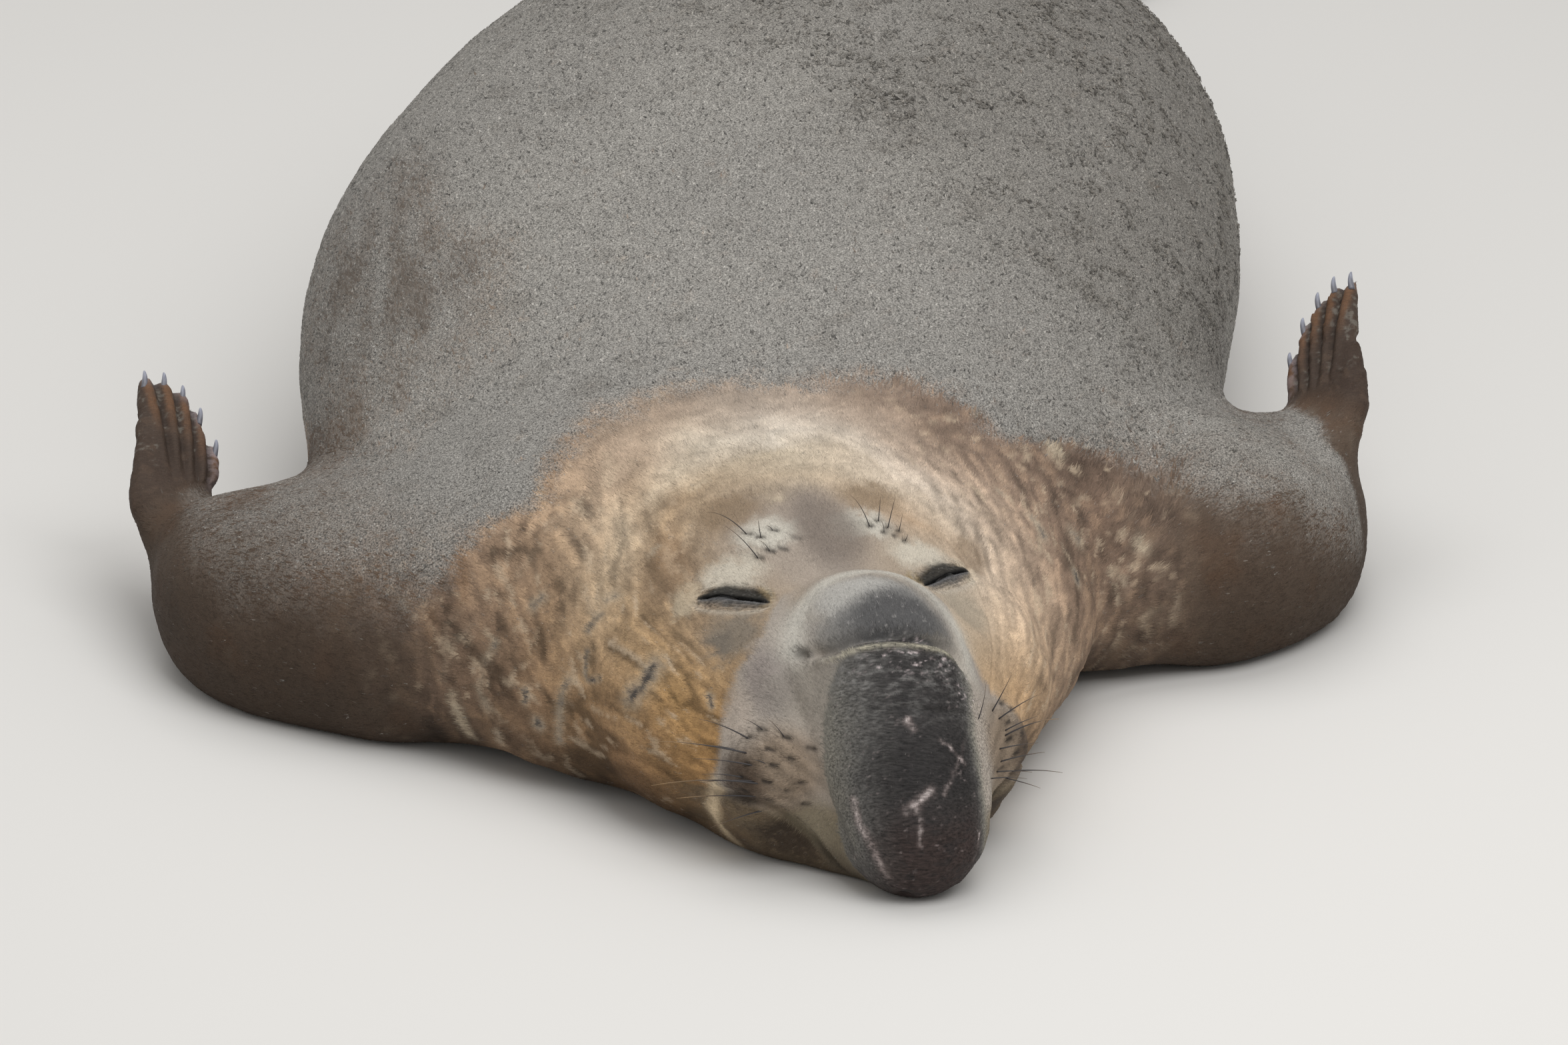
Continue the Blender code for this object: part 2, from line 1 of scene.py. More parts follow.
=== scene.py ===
"""The looks of a still, life-size bull elephant seal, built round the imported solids.

Metres, +Z up, floor at Z = 0; the head faces -Y and the seal's left side is at +X.
One skin stands for every node of flesh.  It is made from their outer faces, smoothed, refined
where the face needs it, and sculpted by functions; a coat of short tufts lies over it.
Places on the head are given in the head's own frame, as (lateral, back, up): towards the seal's
left, behind the nose tip, and above the floor.  Rows inside milli() are in thousandths, and all
other lengths in metres.  Right and left are the seal's own.
"""

import json
import math

import bmesh
import bpy
import numpy as np
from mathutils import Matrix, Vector
from mathutils.bvhtree import BVHTree

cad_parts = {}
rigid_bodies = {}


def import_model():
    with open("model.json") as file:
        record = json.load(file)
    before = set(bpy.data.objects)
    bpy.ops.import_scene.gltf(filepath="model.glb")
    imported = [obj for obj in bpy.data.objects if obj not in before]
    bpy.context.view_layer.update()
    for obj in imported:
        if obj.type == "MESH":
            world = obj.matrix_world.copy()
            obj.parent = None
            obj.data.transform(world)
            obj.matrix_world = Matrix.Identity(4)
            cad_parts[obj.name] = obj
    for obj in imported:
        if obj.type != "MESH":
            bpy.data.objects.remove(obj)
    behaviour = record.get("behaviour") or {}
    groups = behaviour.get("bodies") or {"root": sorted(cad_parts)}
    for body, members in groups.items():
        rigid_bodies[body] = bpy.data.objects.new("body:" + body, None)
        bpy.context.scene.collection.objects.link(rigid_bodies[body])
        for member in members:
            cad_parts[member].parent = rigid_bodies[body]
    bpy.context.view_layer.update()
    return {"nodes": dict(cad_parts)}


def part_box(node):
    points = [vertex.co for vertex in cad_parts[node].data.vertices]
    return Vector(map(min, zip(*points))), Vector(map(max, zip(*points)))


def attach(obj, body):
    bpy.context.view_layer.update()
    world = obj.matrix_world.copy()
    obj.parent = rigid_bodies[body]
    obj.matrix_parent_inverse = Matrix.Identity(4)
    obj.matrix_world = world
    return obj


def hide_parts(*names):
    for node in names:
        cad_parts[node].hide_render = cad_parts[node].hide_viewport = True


for leftover in list(bpy.data.objects):
    bpy.data.objects.remove(leftover)
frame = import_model()

# ---------------------------------------------------------------- sizes
SKIN_VOXEL = 0.011
EYE_BACK = 0.376                             # eyeballs behind the nose tip

CAMERA_ELEVATION = math.radians(20)
CAMERA_DISTANCE = 11.0
CAMERA_LENS = 198                            # millimetres, as is the sensor
CAMERA_SENSOR = 36
CAMERA_TARGET = (-0.168, 0.574, 0.296)       # from the floor under the nose tip

FLESH = (
    "proboscis", "head", "lower_jaw", "neck", "chest", "trunk", "hips", "tail",
    "foreflipper_left_arm", "foreflipper_left_hand", "foreflipper_right_arm",
    "foreflipper_right_hand", "hind_flipper_left", "hind_flipper_right",
)
LABEL = {name: number for number, name in enumerate(FLESH)}
SIDES = {"left": 1, "right": -1}

# ---------------------------------------------------------------- colours (linear)
SAND = (0.278, 0.266, 0.246)
SAND_LIGHT = (0.345, 0.330, 0.302)
SAND_DARK = (0.135, 0.122, 0.105)
COAT_BROWN = (0.150, 0.115, 0.090)
NECK_BROWN = (0.150, 0.105, 0.075)
DARK_FUR_AND_SHADE = (0.045, 0.031, 0.022)
ARM_BROWN = (0.096, 0.067, 0.048)
FLANK_BROWN = (0.140, 0.116, 0.096)
RUST = (0.120, 0.062, 0.032)
HAND_BROWN = (0.052, 0.034, 0.025)
MUZZLE = (0.370, 0.325, 0.280)
JAW_BROWN = (0.155, 0.112, 0.068)
NOSE_DARK = (0.036, 0.033, 0.032)
NOSE_GREY = (0.115, 0.111, 0.105)
NOSE_OLIVE = (0.245, 0.230, 0.190)
NOSE_SHINE = (0.190, 0.184, 0.176)
HUMP_GREY = (0.230, 0.225, 0.215)
LID_RIM = (0.430, 0.385, 0.320)
LID_GREY = (0.078, 0.078, 0.080)
LID_DARK_AND_SHADE = (0.006, 0.006, 0.005)
SCAR_PINK = (0.400, 0.290, 0.270)
SCAR_PALE = (0.680, 0.610, 0.590)
SCAR_GREY = (0.150, 0.138, 0.128)
SCAR_DARK = (0.042, 0.038, 0.038)
SCAR_RIM = (0.600, 0.500, 0.370)
STREAK_PALE = (0.540, 0.450, 0.330)
CLAW_ROOT, CLAW_TIP = (0.150, 0.150, 0.175), (0.330, 0.350, 0.430)
WHISKER_BASE, WHISKER_TIP = (0.030, 0.026, 0.028), (0.300, 0.190, 0.090)
EYE_WHITE, IRIS, PUPIL = (0.012, 0.010, 0.009), (0.007, 0.005, 0.004), (0.002, 0.002, 0.002)
FLOOR = (0.75, 0.74, 0.72)
SKY = (1.0, 0.985, 0.96)
# Of the coat's mottles
MOTTLE_LIFT = (0.045, 0.030, 0.012)
MOTTLE_PALE = (0.540, 0.430, 0.310)
MOTTLE_RUST = (0.300, 0.165, 0.075)
WORN_BROWN = (0.150, 0.116, 0.088)
# Of the face
BROW_GREY = (0.176, 0.145, 0.122)
CHIN = (0.205, 0.172, 0.122)
PAD_BROWN = (0.228, 0.172, 0.122)
FOLLICLE_DARK = (0.030, 0.024, 0.020)
# Of the mouth
JAW_MOTTLE = (0.085, 0.062, 0.044)
JAW_HOLLOW_SHADOW = (0.040, 0.028, 0.020)
JAW_UNDERSIDE_SHADE = (0.060, 0.042, 0.028)
JAW_FLECK = (0.260, 0.195, 0.130)
LIP_PALE = (0.700, 0.560, 0.380)
MOUTH_SHADE = (0.020, 0.015, 0.012)
# Of the nose
NOSE_LOWER = (0.042, 0.027, 0.024)
NOSE_STREAK = (0.020, 0.018, 0.018)
NOSE_BLACK = (0.016, 0.014, 0.014)
NOSE_FLECK = (0.260, 0.215, 0.210)
HUMP_EDGE = (0.520, 0.495, 0.440)
HUMP_PALE = (0.440, 0.425, 0.395)
HUMP_SHADOW = (0.072, 0.071, 0.073)
HUMP_FLECK = (0.420, 0.400, 0.385)
FOLD_PALE = (0.380, 0.350, 0.270)
FOLD_FLECK = (0.560, 0.480, 0.480)
FOLD_SHADOW = (0.030, 0.029, 0.028)
CREASE_SHADE = (0.030, 0.028, 0.026)
PIT_SHADE = (0.014, 0.014, 0.014)
# Of the lids
LID_GRAIN = (0.090, 0.088, 0.080)
LID_LINE = (0.034, 0.034, 0.036)
LID_SPECK = (0.200, 0.195, 0.180)
LID_EDGE = (0.170, 0.170, 0.180)
SLIT_SHADOW = (0.003, 0.003, 0.003)
# Of the hands
WEB_SHADE = (0.030, 0.020, 0.015)
DIGIT_TAN_AND_HIGHLIGHT = (0.215, 0.105, 0.050)
HAND_BLOTCH = (0.100, 0.066, 0.046)
HAND_EDGE = (0.330, 0.275, 0.285)
HAND_TIPS = (0.300, 0.265, 0.270)
HAND_GRAIN = (0.190, 0.175, 0.150)


# ---------------------------------------------------------------- arrays
def unit(vectors):
    return vectors / np.maximum(np.linalg.norm(vectors, axis=-1, keepdims=True), 1e-12)


def milli(*rows):
    """Rows given in thousandths: of a metre, or of full colour."""
    return np.array(rows, float) / 1000


def by_table(value, table):
    """The table's second column, where its first column has the value."""
    return np.interp(value, *np.transpose(table))


def step(value, start, end):
    """0 before start, 1 after end, smooth between; start may be the larger one."""
    t = np.clip((value - start) / (end - start), 0, 1)
    return t * t * (3 - 2 * t)


def hill(distance, width):
    """1 at no distance, falling away smoothly to both sides."""
    return np.exp(-(distance / width) ** 2)


def noise(points, size, seed=0):
    """Smooth noise between -1 and 1 whose features are `size` apart (one size or three)."""
    q = points / np.asarray(size, float)
    cell = np.floor(q).astype(np.int64)
    f = q - cell
    f = f * f * (3 - 2 * f)
    total = np.zeros(len(q))
    for corner in range(8):
        bits = np.array([corner & 1, corner >> 1 & 1, corner >> 2 & 1])
        i = cell + bits
        h = (i[:, 0] * 73856093) ^ (i[:, 1] * 19349663) ^ (i[:, 2] * 83492791) ^ (seed * 2654435761)
        h = (h ^ (h >> 13)) * 1274126177 & 0x7FFFFFFF
        value = (h ^ (h >> 16)) % 65536 / 32767.5 - 1
        total += value * np.prod(np.where(bits, f, 1 - f), axis=1)
    return total


def rough_noise(points, size, seed=0, octaves=3):
    """Noise with finer and weaker noise added to it."""
    size = np.asarray(size, float)
    parts = [noise(points, size / 2 ** k, seed + k) / 1.7 ** k for k in range(octaves)]
    return sum(parts) / sum(1 / 1.7 ** k for k in range(octaves)) * 1.6


def smooth_path(points, count=48):
    """A Catmull-Rom curve through the points."""
    p = np.asarray(points, float)
    p = np.vstack([2 * p[0] - p[1], p, 2 * p[-1] - p[-2]])
    spans = len(p) - 3
    t = np.linspace(0, spans - 1e-9, count)
    i = t.astype(int)
    t = (t - i)[:, None]
    a, b, c, d = p[i], p[i + 1], p[i + 2], p[i + 3]
    square, cube = 2 * a - 5 * b + 4 * c - d, 3 * b - a - 3 * c + d
    return 0.5 * (2 * b + (c - a) * t + square * t**2 + cube * t**3)


def along_path(points, path):
    """Each point's distance from the path, and its nearest place on it from 0 to 1."""
    best = np.full(len(points), np.inf)
    place = np.zeros(len(points))
    for start, end, k in zip(path[:-1], path[1:], range(len(path) - 1)):
        run = end - start
        share = np.clip((points - start) @ run / (run @ run), 0, 1)
        distance = np.linalg.norm(points - start - share[:, None] * run, axis=1)
        nearer = distance < best
        best[nearer] = distance[nearer]
        place[nearer] = (k + share[nearer]) / (len(path) - 1)
    return best, place


# ---------------------------------------------------------------- the head's frame
def centre(node):
    low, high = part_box(node)
    return np.array((low + high) / 2)


class HeadFrame:
    """The head's own axes, from the places of the two eyeballs."""

    def __init__(self):
        left, right = centre("eye_left"), centre("eye_right")
        self.lateral = unit((left - right) * (1, 1, 0))
        self.back = np.cross((0, 0, 1), self.lateral)
        self.origin = (left + right) / 2 * (1, 1, 0) - self.back * EYE_BACK
        self.axes = np.array([self.lateral, self.back, (0, 0, 1)])

    def coordinates(self, points):
        return (points - self.origin) @ self.axes.T

    def point(self, lateral, back, up):
        return self.origin + np.array([lateral, back, up]) @ self.axes


# ---------------------------------------------------------------- surface
class Surface:
    """A closed triangle mesh held in arrays."""

    def __init__(self, points, faces):
        self.points, self.faces = points, faces

    def edges(self):
        """Each edge once, and the three edges of each face."""
        f = self.faces
        pairs = np.sort(np.concatenate([f[:, [0, 1]], f[:, [1, 2]], f[:, [2, 0]]]), axis=1)
        key, index = np.unique(pairs[:, 0] * len(self.points) + pairs[:, 1], return_inverse=True)
        return np.stack([key // len(self.points), key % len(self.points)], axis=1), index.reshape(3, -1).T

    def averager(self):
        """A function that gives each vertex the mean of its neighbours' values."""
        (a, b), count = self.edges()[0].T, len(self.points)
        degree = np.bincount(a, minlength=count) + np.bincount(b, minlength=count)

        def mean(values):
            sums = [np.bincount(a, v[b], count) + np.bincount(b, v[a], count) for v in values.T]
            return np.stack(sums, axis=1) / degree[:, None]

        return mean

    def smooth(self, rounds, weight):
        mean = self.averager()
        for _ in range(rounds):
            self.points += (mean(self.points) - self.points) * weight[:, None]

    def spread(self, values, rounds):
        """Values of the vertices, averaged with their neighbours'."""
        mean = self.averager()
        for _ in range(rounds):
            values = (values + mean(values)) / 2
        return values

    def face_normals(self):
        a, b, c = (self.points[self.faces[:, k]] for k in range(3))
        return np.cross(b - a, c - a)

    def normals(self):
        across = self.face_normals()
        total = np.stack([
            sum(np.bincount(self.faces[:, k], across[:, j], len(self.points)) for k in range(3))
            for j in range(3)
        ], axis=1)
        return unit(total)

    def refine(self, chosen):
        """Splits each face whose corners are all chosen into four, and its neighbours to match."""
        edges, sides = self.edges()
        split = np.zeros(len(edges), bool)
        split[sides[chosen[self.faces].all(axis=1)]] = True
        while True:
            two = split[sides].sum(axis=1) == 2
            if not two.any():
                break
            split[sides[two]] = True
        number = np.cumsum(split) - 1 + len(self.points)
        middles = self.points[edges[split]].mean(axis=1)
        self.points = np.vstack([self.points, middles])
        count = split[sides].sum(axis=1)
        a, b, c = self.faces[count == 3].T
        ab, bc, ca = number[sides[count == 3]].T
        made = [
            self.faces[count == 0],
            *(np.stack(corners, axis=1) for corners in
              ((a, ab, ca), (b, bc, ab), (c, ca, bc), (ab, bc, ca))),
        ]
        for side in range(3):
            one = (count == 1) & split[sides[:, side]]
            start, end, other = (self.faces[one][:, (side + k) % 3] for k in range(3))
            middle = number[sides[one, side]]
            made += [np.stack([start, middle, other], axis=1), np.stack([middle, end, other], axis=1)]
        self.faces = np.vstack(made)

    def tree(self):
        return BVHTree.FromPolygons(self.points.tolist(), self.faces.tolist())

    def mesh(self, name):
        mesh = bpy.data.meshes.new(name)
        mesh.vertices.add(len(self.points))
        mesh.vertices.foreach_set("co", self.points.astype(np.float32).ravel())
        mesh.loops.add(self.faces.size)
        mesh.loops.foreach_set("vertex_index", self.faces.astype(np.int32).ravel())
        mesh.polygons.add(len(self.faces))
        mesh.polygons.foreach_set("loop_start", np.arange(0, self.faces.size, 3, dtype=np.int32))
        mesh.update(calc_edges=True)
        mesh.polygons.foreach_set("use_smooth", np.ones(len(self.faces), bool))
        return mesh


WELD = 1e-5
CUT_REACH = 0.0015       # two nodes' faces this close, and facing, are the sides of a cut
CUT_FACING = -0.9        # the cosine of the angle between two faces that face each other
SOCKET_REACH = 0.0022    # faces this near to the eyeball belong to its socket
SOCKET_ROOM = 0.002      # the skin closes over a ball that is this much larger than the eyeball


def arrays_of(mesh):
    points = np.empty(len(mesh.vertices) * 3, np.float32)
    mesh.vertices.foreach_get("co", points)
    mesh.calc_loop_triangles()
    faces = np.empty(len(mesh.loop_triangles) * 3, np.int32)
    mesh.loop_triangles.foreach_get("vertices", faces)
    return points.reshape(-1, 3).astype(float), faces.reshape(-1, 3).astype(np.int64)


def welded(mesh):
    """The mesh's points and faces, with its split corners joined again."""
    bm = bmesh.new()
    bm.from_mesh(mesh)
    bmesh.ops.remove_doubles(bm, verts=bm.verts, dist=WELD)
    joined = bpy.data.meshes.new("welded")
    bm.to_mesh(joined)
    bm.free()
    result = arrays_of(joined)
    bpy.data.meshes.remove(joined)
    return result


def outer_faces(eyes):
    """All the flesh's faces in one list, each with its node's number, without cuts and sockets."""
    parts = {name: welded(frame["nodes"][name].data) for name in FLESH}
    trees = {name: BVHTree.FromPolygons(p.tolist(), f.tolist()) for name, (p, f) in parts.items()}
    points, faces, labels, offset = [], [], [], 0
    for name, (p, f) in parts.items():
        corners = p[f]
        middles = corners.mean(axis=1)
        facing = unit(np.cross(corners[:, 1] - corners[:, 0], corners[:, 2] - corners[:, 0]))
        keep = np.ones(len(f), bool)
        for i, (middle, out) in enumerate(zip(middles, facing)):
            for other, tree in trees.items():
                found = tree.find_nearest(Vector(middle), CUT_REACH) if other != name else (None,)
                if found[0] is not None and found[1].dot(Vector(out)) < CUT_FACING:
                    keep[i] = False
        for eye, radius in eyes:
            keep &= np.linalg.norm(middles - eye, axis=1) > radius + SOCKET_REACH
        points.append(p)
        faces.append(f[keep] + offset)
        labels.append(np.full(keep.sum(), LABEL[name]))
        offset += len(p)
    return np.vstack(points), np.vstack(faces), np.concatenate(labels)


def largest_body(mesh):
    """Removes all but the largest connected body."""
    bm = bmesh.new()
    bm.from_mesh(mesh)
    left = set(bm.verts)
    bodies = []
    while left:
        todo = [left.pop()]
        body = list(todo)
        while todo:
            for edge in todo.pop().link_edges:
                for vert in edge.verts:
                    if vert in left:
                        left.remove(vert)
                        todo.append(vert)
                        body.append(vert)
        bodies.append(body)
    bodies.sort(key=len)
    for body in bodies[:-1]:
        bmesh.ops.delete(bm, geom=body, context="VERTS")
    bm.to_mesh(mesh)
    bm.free()


def fused(points, faces, eyes):
    """One closed surface of even faces through the outer faces of the flesh."""
    source = Surface(points, faces).mesh("soup")
    bm = bmesh.new()
    bm.from_mesh(source)
    for eye, radius in eyes:
        ball = bmesh.ops.create_icosphere(bm, subdivisions=4, radius=radius + SOCKET_ROOM)
        bmesh.ops.translate(bm, verts=ball["verts"], vec=eye)
    bm.to_mesh(source)
    bm.free()
    obj = bpy.data.objects.new("soup", source)
    bpy.context.scene.collection.objects.link(obj)
    remesh = obj.modifiers.new("fuse", "REMESH")
    remesh.mode = "VOXEL"
    remesh.voxel_size = SKIN_VOXEL
    bpy.context.view_layer.update()
    mesh = bpy.data.meshes.new_from_object(obj.evaluated_get(bpy.context.evaluated_depsgraph_get()))
    bpy.data.objects.remove(obj)
    largest_body(mesh)
    surface = Surface(*arrays_of(mesh))
    bpy.data.meshes.remove(mesh)
    return surface


def labels_at(points, tree, labels):
    """The number of the node that each point is nearest to."""
    return np.array([labels[tree.find_nearest(p)[2]] for p in points.tolist()])


def is_in(labels, *starts):
    """Which labels are of nodes whose names start so."""
    numbers = [LABEL[name] for name in FLESH if name.startswith(starts)]
    return np.isin(labels, numbers)


# ---------------------------------------------------------------- sculpting
# Of each kind of flesh: how strongly it is smoothed, and how deep the skin lies in the solids
KINDS = (
    (("trunk", "hips", "chest"), 0.50, 0.0040),
    (("neck",), 0.30, 0.0035),
    (("head", "lower_jaw"), 0.03, 0.0012),
    (("proboscis",), 0.04, 0.0010),
    (("tail", "hind_flipper"), 0.015, 0.0020),
    (("foreflipper_left_arm", "foreflipper_right_arm"), 0.09, 0.0030),
    (("foreflipper_left_hand", "foreflipper_right_hand"), 0.006, 0.0008),
)
SMOOTHING_ROUNDS = 90
FLOOR_GAP = 0.0005       # the skin's underside above the floor

# The corners of the slit between the lids: inner, outer
EYE_CORNERS = {
    "right": ((-0.096, 0.326, 0.296), (-0.171, 0.383, 0.289)),
    "left": ((0.108, 0.322, 0.299), (0.190, 0.399, 0.282)),
}
SLIT_OPENING = 0.0017
LID_RIM_HEIGHT, LID_RIM_PLACE, LID_RIM_WIDTH = 0.0012, 0.0030, 0.0022     # its place is from the slit
# Creases of the lids: how high over the slit each arches, its width and its depth
LID_CREASES = (
    (0.0150, 0.0022, 0.0022), (-0.0125, 0.0020, 0.0018),
    (-0.0190, 0.0020, 0.0012), (0.0220, 0.0022, 0.0012),
)
SLIT_DEPTH = 0.0100
LID_CLEARANCE = 0.0014
EYE_DEPTH, EYE_REACH = 0.04, 0.08     # how far from the slit's middle an eye's own skin reaches
FACE_MIDDLE = (0.0, 0.33, 0.24)      # the rings of coat and wrinkles lie round this point
FACE_AXIS = (0.0, -0.94, 0.34)       # the way the face looks
CROWN_WAY = (0.0, 0.34, 0.94)        # square to it, towards the crown
FOLD_SPACING = 0.045                 # of the rings of wrinkles behind the face

# Heights of the skin's own forms
WRINKLE_HEIGHT = 0.0013
NAPE_HEIGHT, NAPE_SIZE = 0.0030, (0.35, 0.22, 0.30)
BUMP_HEIGHT, BUMP_SIZE = 0.0012, 0.060
GRAIN_HEIGHT, GRAIN_SIZE = 0.0006, 0.022
CLUMP_HEIGHT = 0.0045
DIGIT_HEIGHT, WEB_DEPTH = 0.0034, 0.0042
DIGIT_WIDTH, WEB_WIDTH = 0.0075, 0.0050

# Paths of the grooves and swellings of the face
NOSE_FOLD = milli((-86, 202, 270), (-64, 176, 284), (-35, 165, 298), (1, 158, 302), (41, 154, 298),
                  (75, 155, 286), (95, 150, 270), (104, 138, 245))
FOLD_LIP_SHIFT = (0.0, -0.013, -0.008)
NOSE_CREASE = milli((-5, 88, 238), (30, 81, 230), (62, 85, 222), (94, 100, 210))
NOSE_SIDE = milli((-118, 232, 262), (-113, 195, 240), (-106, 165, 205), (-101, 137, 172), (-94, 120, 131),
                  (-86, 104, 104), (-80, 76, 80), (-75, 60, 45))
MOUTH = milli((-206, 218, 92), (-196, 186, 106), (-174, 146, 108), (-142, 130, 94), (-112, 140, 68),
              (-90, 133, 43), (-68, 112, 12))
LOWER_LIP = milli((-205, 250, 75), (-180, 226, 45), (-139, 188, 22))
CHEEK_LINE = milli((175, 464, 310), (196, 409, 280), (187, 304, 249), (161, 210, 217), (141, 164, 197))
# Each one's path, half width and height, and whether the other side has one too
FACE_LINES = (
    (NOSE_FOLD, 0.0075, -0.0120, False),
    (np.add(NOSE_FOLD, FOLD_LIP_SHIFT), 0.0080, 0.0045, False),
    (NOSE_CREASE, 0.0045, -0.0022, False),
    (NOSE_SIDE, 0.0120, -0.0060, True),
    (MOUTH, 0.0060, -0.0100, True),
    (LOWER_LIP, 0.0140, 0.0045, True),
    (CHEEK_LINE, 0.0035, -0.0022, False),
    (np.add(CHEEK_LINE, (0.018, 0.012, -0.004)), 0.0040, -0.0018, False),
    (np.add(CHEEK_LINE, (0.038, 0.022, -0.010)), 0.0050, -0.0018, False),
)
FOLD_PIT = (-0.090, 0.206, 0.270)      # at the fold's right end
# Soft swellings and hollows: centre, radius, height, and whether the other side has one too
FACE_SPOTS = (
    ((0.004, 0.212, 0.320), 0.052, 0.0110, False),     # hump of the nose, over its fold
    (FOLD_PIT, 0.0070, -0.0090, False),
    ((-0.150, 0.290, 0.262), 0.0300, -0.0060, True),   # hollow under each eye
    ((-0.066, 0.425, 0.338), 0.0300, 0.0040, True),    # brows
    ((-0.165, 0.150, 0.160), 0.0450, 0.0060, True),    # whisker pads
    ((0.046, 0.030, 0.016), 0.0090, -0.0120, False),   # nostrils, on the underside of the tip
    ((-0.012, 0.030, 0.016), 0.0090, -0.0120, False),
    ((-0.240, 0.500, 0.235), 0.0035, -0.0050, True),   # ear openings
)


# Follicles of the whiskers, on the seal's right pad and brow and on its left brow
PAD_FOLLICLES = milli((-155, 171, 190), (-130, 151, 184), (-102, 137, 172), (-168, 171, 181),
                      (-153, 146, 173), (-128, 132, 163), (-176, 151, 155), (-151, 132, 157),
                      (-118, 123, 134), (-182, 151, 137), (-161, 132, 137), (-135, 121, 125),
                      (-113, 125, 104), (-184, 152, 120), (-158, 130, 112), (-142, 128, 98))
BROW_FOLLICLES = milli((-84, 457, 341), (-52, 448, 345), (-31, 421, 343), (-69, 406, 333), (-53, 404, 335),
                       (-86, 401, 328), (-72, 439, 339), (72, 437, 340), (89, 457, 340), (97, 442, 335),
                       (111, 439, 330), (113, 419, 324), (88, 427, 335), (102, 425, 330))
FOLLICLE_RUN = np.array((-0.0038, 0.0020, 0.0006))     # half of its slit, along the hair
FOLLICLE_REACH = 0.014
FOLLICLE_WIDTH = 0.0034
FOLLICLE_DEPTH = 0.0016
WHISKER_PAD = (-0.150, 0.140, 0.145)      # the middle of the seal's right one
FINE_BY_EYE, FINE_BY_PAD = 0.056, 0.052   # the finest faces reach this far from an eye or a pad
FACE_SHIFT = 0.004                        # the face's middle lies this far to its left


def follicle_marks(h):
    """1 in the follicles' slits and 0 away from them."""
    mask = np.zeros(len(h))
    for points, spots in ((mirrored_to_right(h), PAD_FOLLICLES), (h, BROW_FOLLICLES)):
        for spot in spots:
            close = np.flatnonzero(np.linalg.norm(points - spot, axis=1) < FOLLICLE_REACH)
            run = FOLLICLE_RUN if spot[0] < 0 else mirrored(FOLLICLE_RUN)
            offset = points[close] - spot
            share = np.clip(offset @ run / (run @ run), -1, 1)
            # Marks reach twice as far in depth, so that they meet the skin wherever it lies.
            across = offset - share[:, None] * run
            across[:, 1] *= 0.5
            mask[close] = np.maximum(mask[close], hill(np.linalg.norm(across, axis=1), FOLLICLE_WIDTH))
    return mask


def mirrored(points):
    return np.asarray(points, float) * (-1, 1, 1)


def both_sides(features):
    """Each feature, and its mirror image where its last value says so."""
    for shape, *sizes, paired in features:
        yield (np.asarray(shape, float), *sizes)
        if paired:
            yield (mirrored(shape), *sizes)


class Eye:
    """One eye: its ball, and axes along, across and out of the slit between its lids."""

    def __init__(self, side, head_frame):
        low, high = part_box("eye_" + side)
        self.side = side
        self.ball = head_frame.coordinates(np.array((low + high) / 2))
        self.radius = (high.x - low.x) / 2
        inner, outer = np.array(EYE_CORNERS[side])
        self.middle = (inner + outer) / 2
        self.half = np.linalg.norm(outer - inner) / 2
        self.along = unit(outer - inner)
        out = unit(self.middle - self.ball)
        self.up = unit(np.cross(self.along, out))
        self.up *= np.sign(self.up[2])
        self.out = unit(np.cross(self.up, self.along))
        self.out *= np.sign(self.out[2])

    def slit(self, h):
        """Places along the slit (-1 to 1) and above it in metres, and which points are near."""
        q = h - self.middle
        x = q @ self.along / self.half
        y = q @ self.up - 0.002 * (1 - x * x)
        near = (np.abs(q @ self.out) < EYE_DEPTH) & (np.linalg.norm(q, axis=1) < EYE_REACH)
        return x, y, near


def half_opening(x):
    """Half the gap between the lids at each place along the slit."""
    return SLIT_OPENING * np.sqrt(np.clip(1 - x * x, 0, 1))


def lid_shape(eye, h):
    """How far the lids stand out or in along the normal."""
    x, y, near = eye.slit(h)
    edge = np.abs(y) - half_opening(x)
    inside = np.abs(x) < 1.05
    rims = LID_RIM_HEIGHT * hill(edge - LID_RIM_PLACE, LID_RIM_WIDTH) * step(np.abs(x), 1.2, 0.8)
    arch = np.sqrt(np.clip(1 - (x / 1.30) ** 2, 0, 1))
    creases = sum(-depth * hill(y - rise * arch, width) for rise, width, depth in LID_CREASES)
    fan = 0.0005 * np.sin(x * 26 + y * 300) * hill(np.abs(y) - 0.010, 0.007)
    groove = -SLIT_DEPTH * step(edge, 0.0007, -0.0007) * np.sqrt(np.clip(1.05 - np.abs(x), 0, 1)) * inside
    return np.where(near, (rims + creases * (arch > 0.05) + fan) * step(np.abs(x), 1.35, 1.1) + groove, 0)


def seat_lids(eye, h):
    """Moves the lids just clear of the ball; the floor of the slit stays as it is."""
    x, y, near = eye.slit(h)
    lid = near & ((np.abs(y) > half_opening(x)) | (np.abs(x) > 1))
    radial = h - eye.ball
    reach = np.linalg.norm(radial, axis=1)
    wanted = eye.radius + LID_CLEARANCE
    short = lid & (reach < wanted) & (radial @ eye.out > 0)
    h[short] = eye.ball + radial[short] * (wanted / reach[short])[:, None]
    return h


def ring_place(h):
    """Round the face, seen along its axis: distance from the axis, and angle from the crown."""
    axis = unit(np.array(FACE_AXIS))
    q = h - np.array(FACE_MIDDLE)
    across = q - (q @ axis)[:, None] * axis
    rise = across @ unit(np.array(CROWN_WAY))
    return np.hypot(across[:, 0], rise), np.arctan2(across[:, 0], rise)


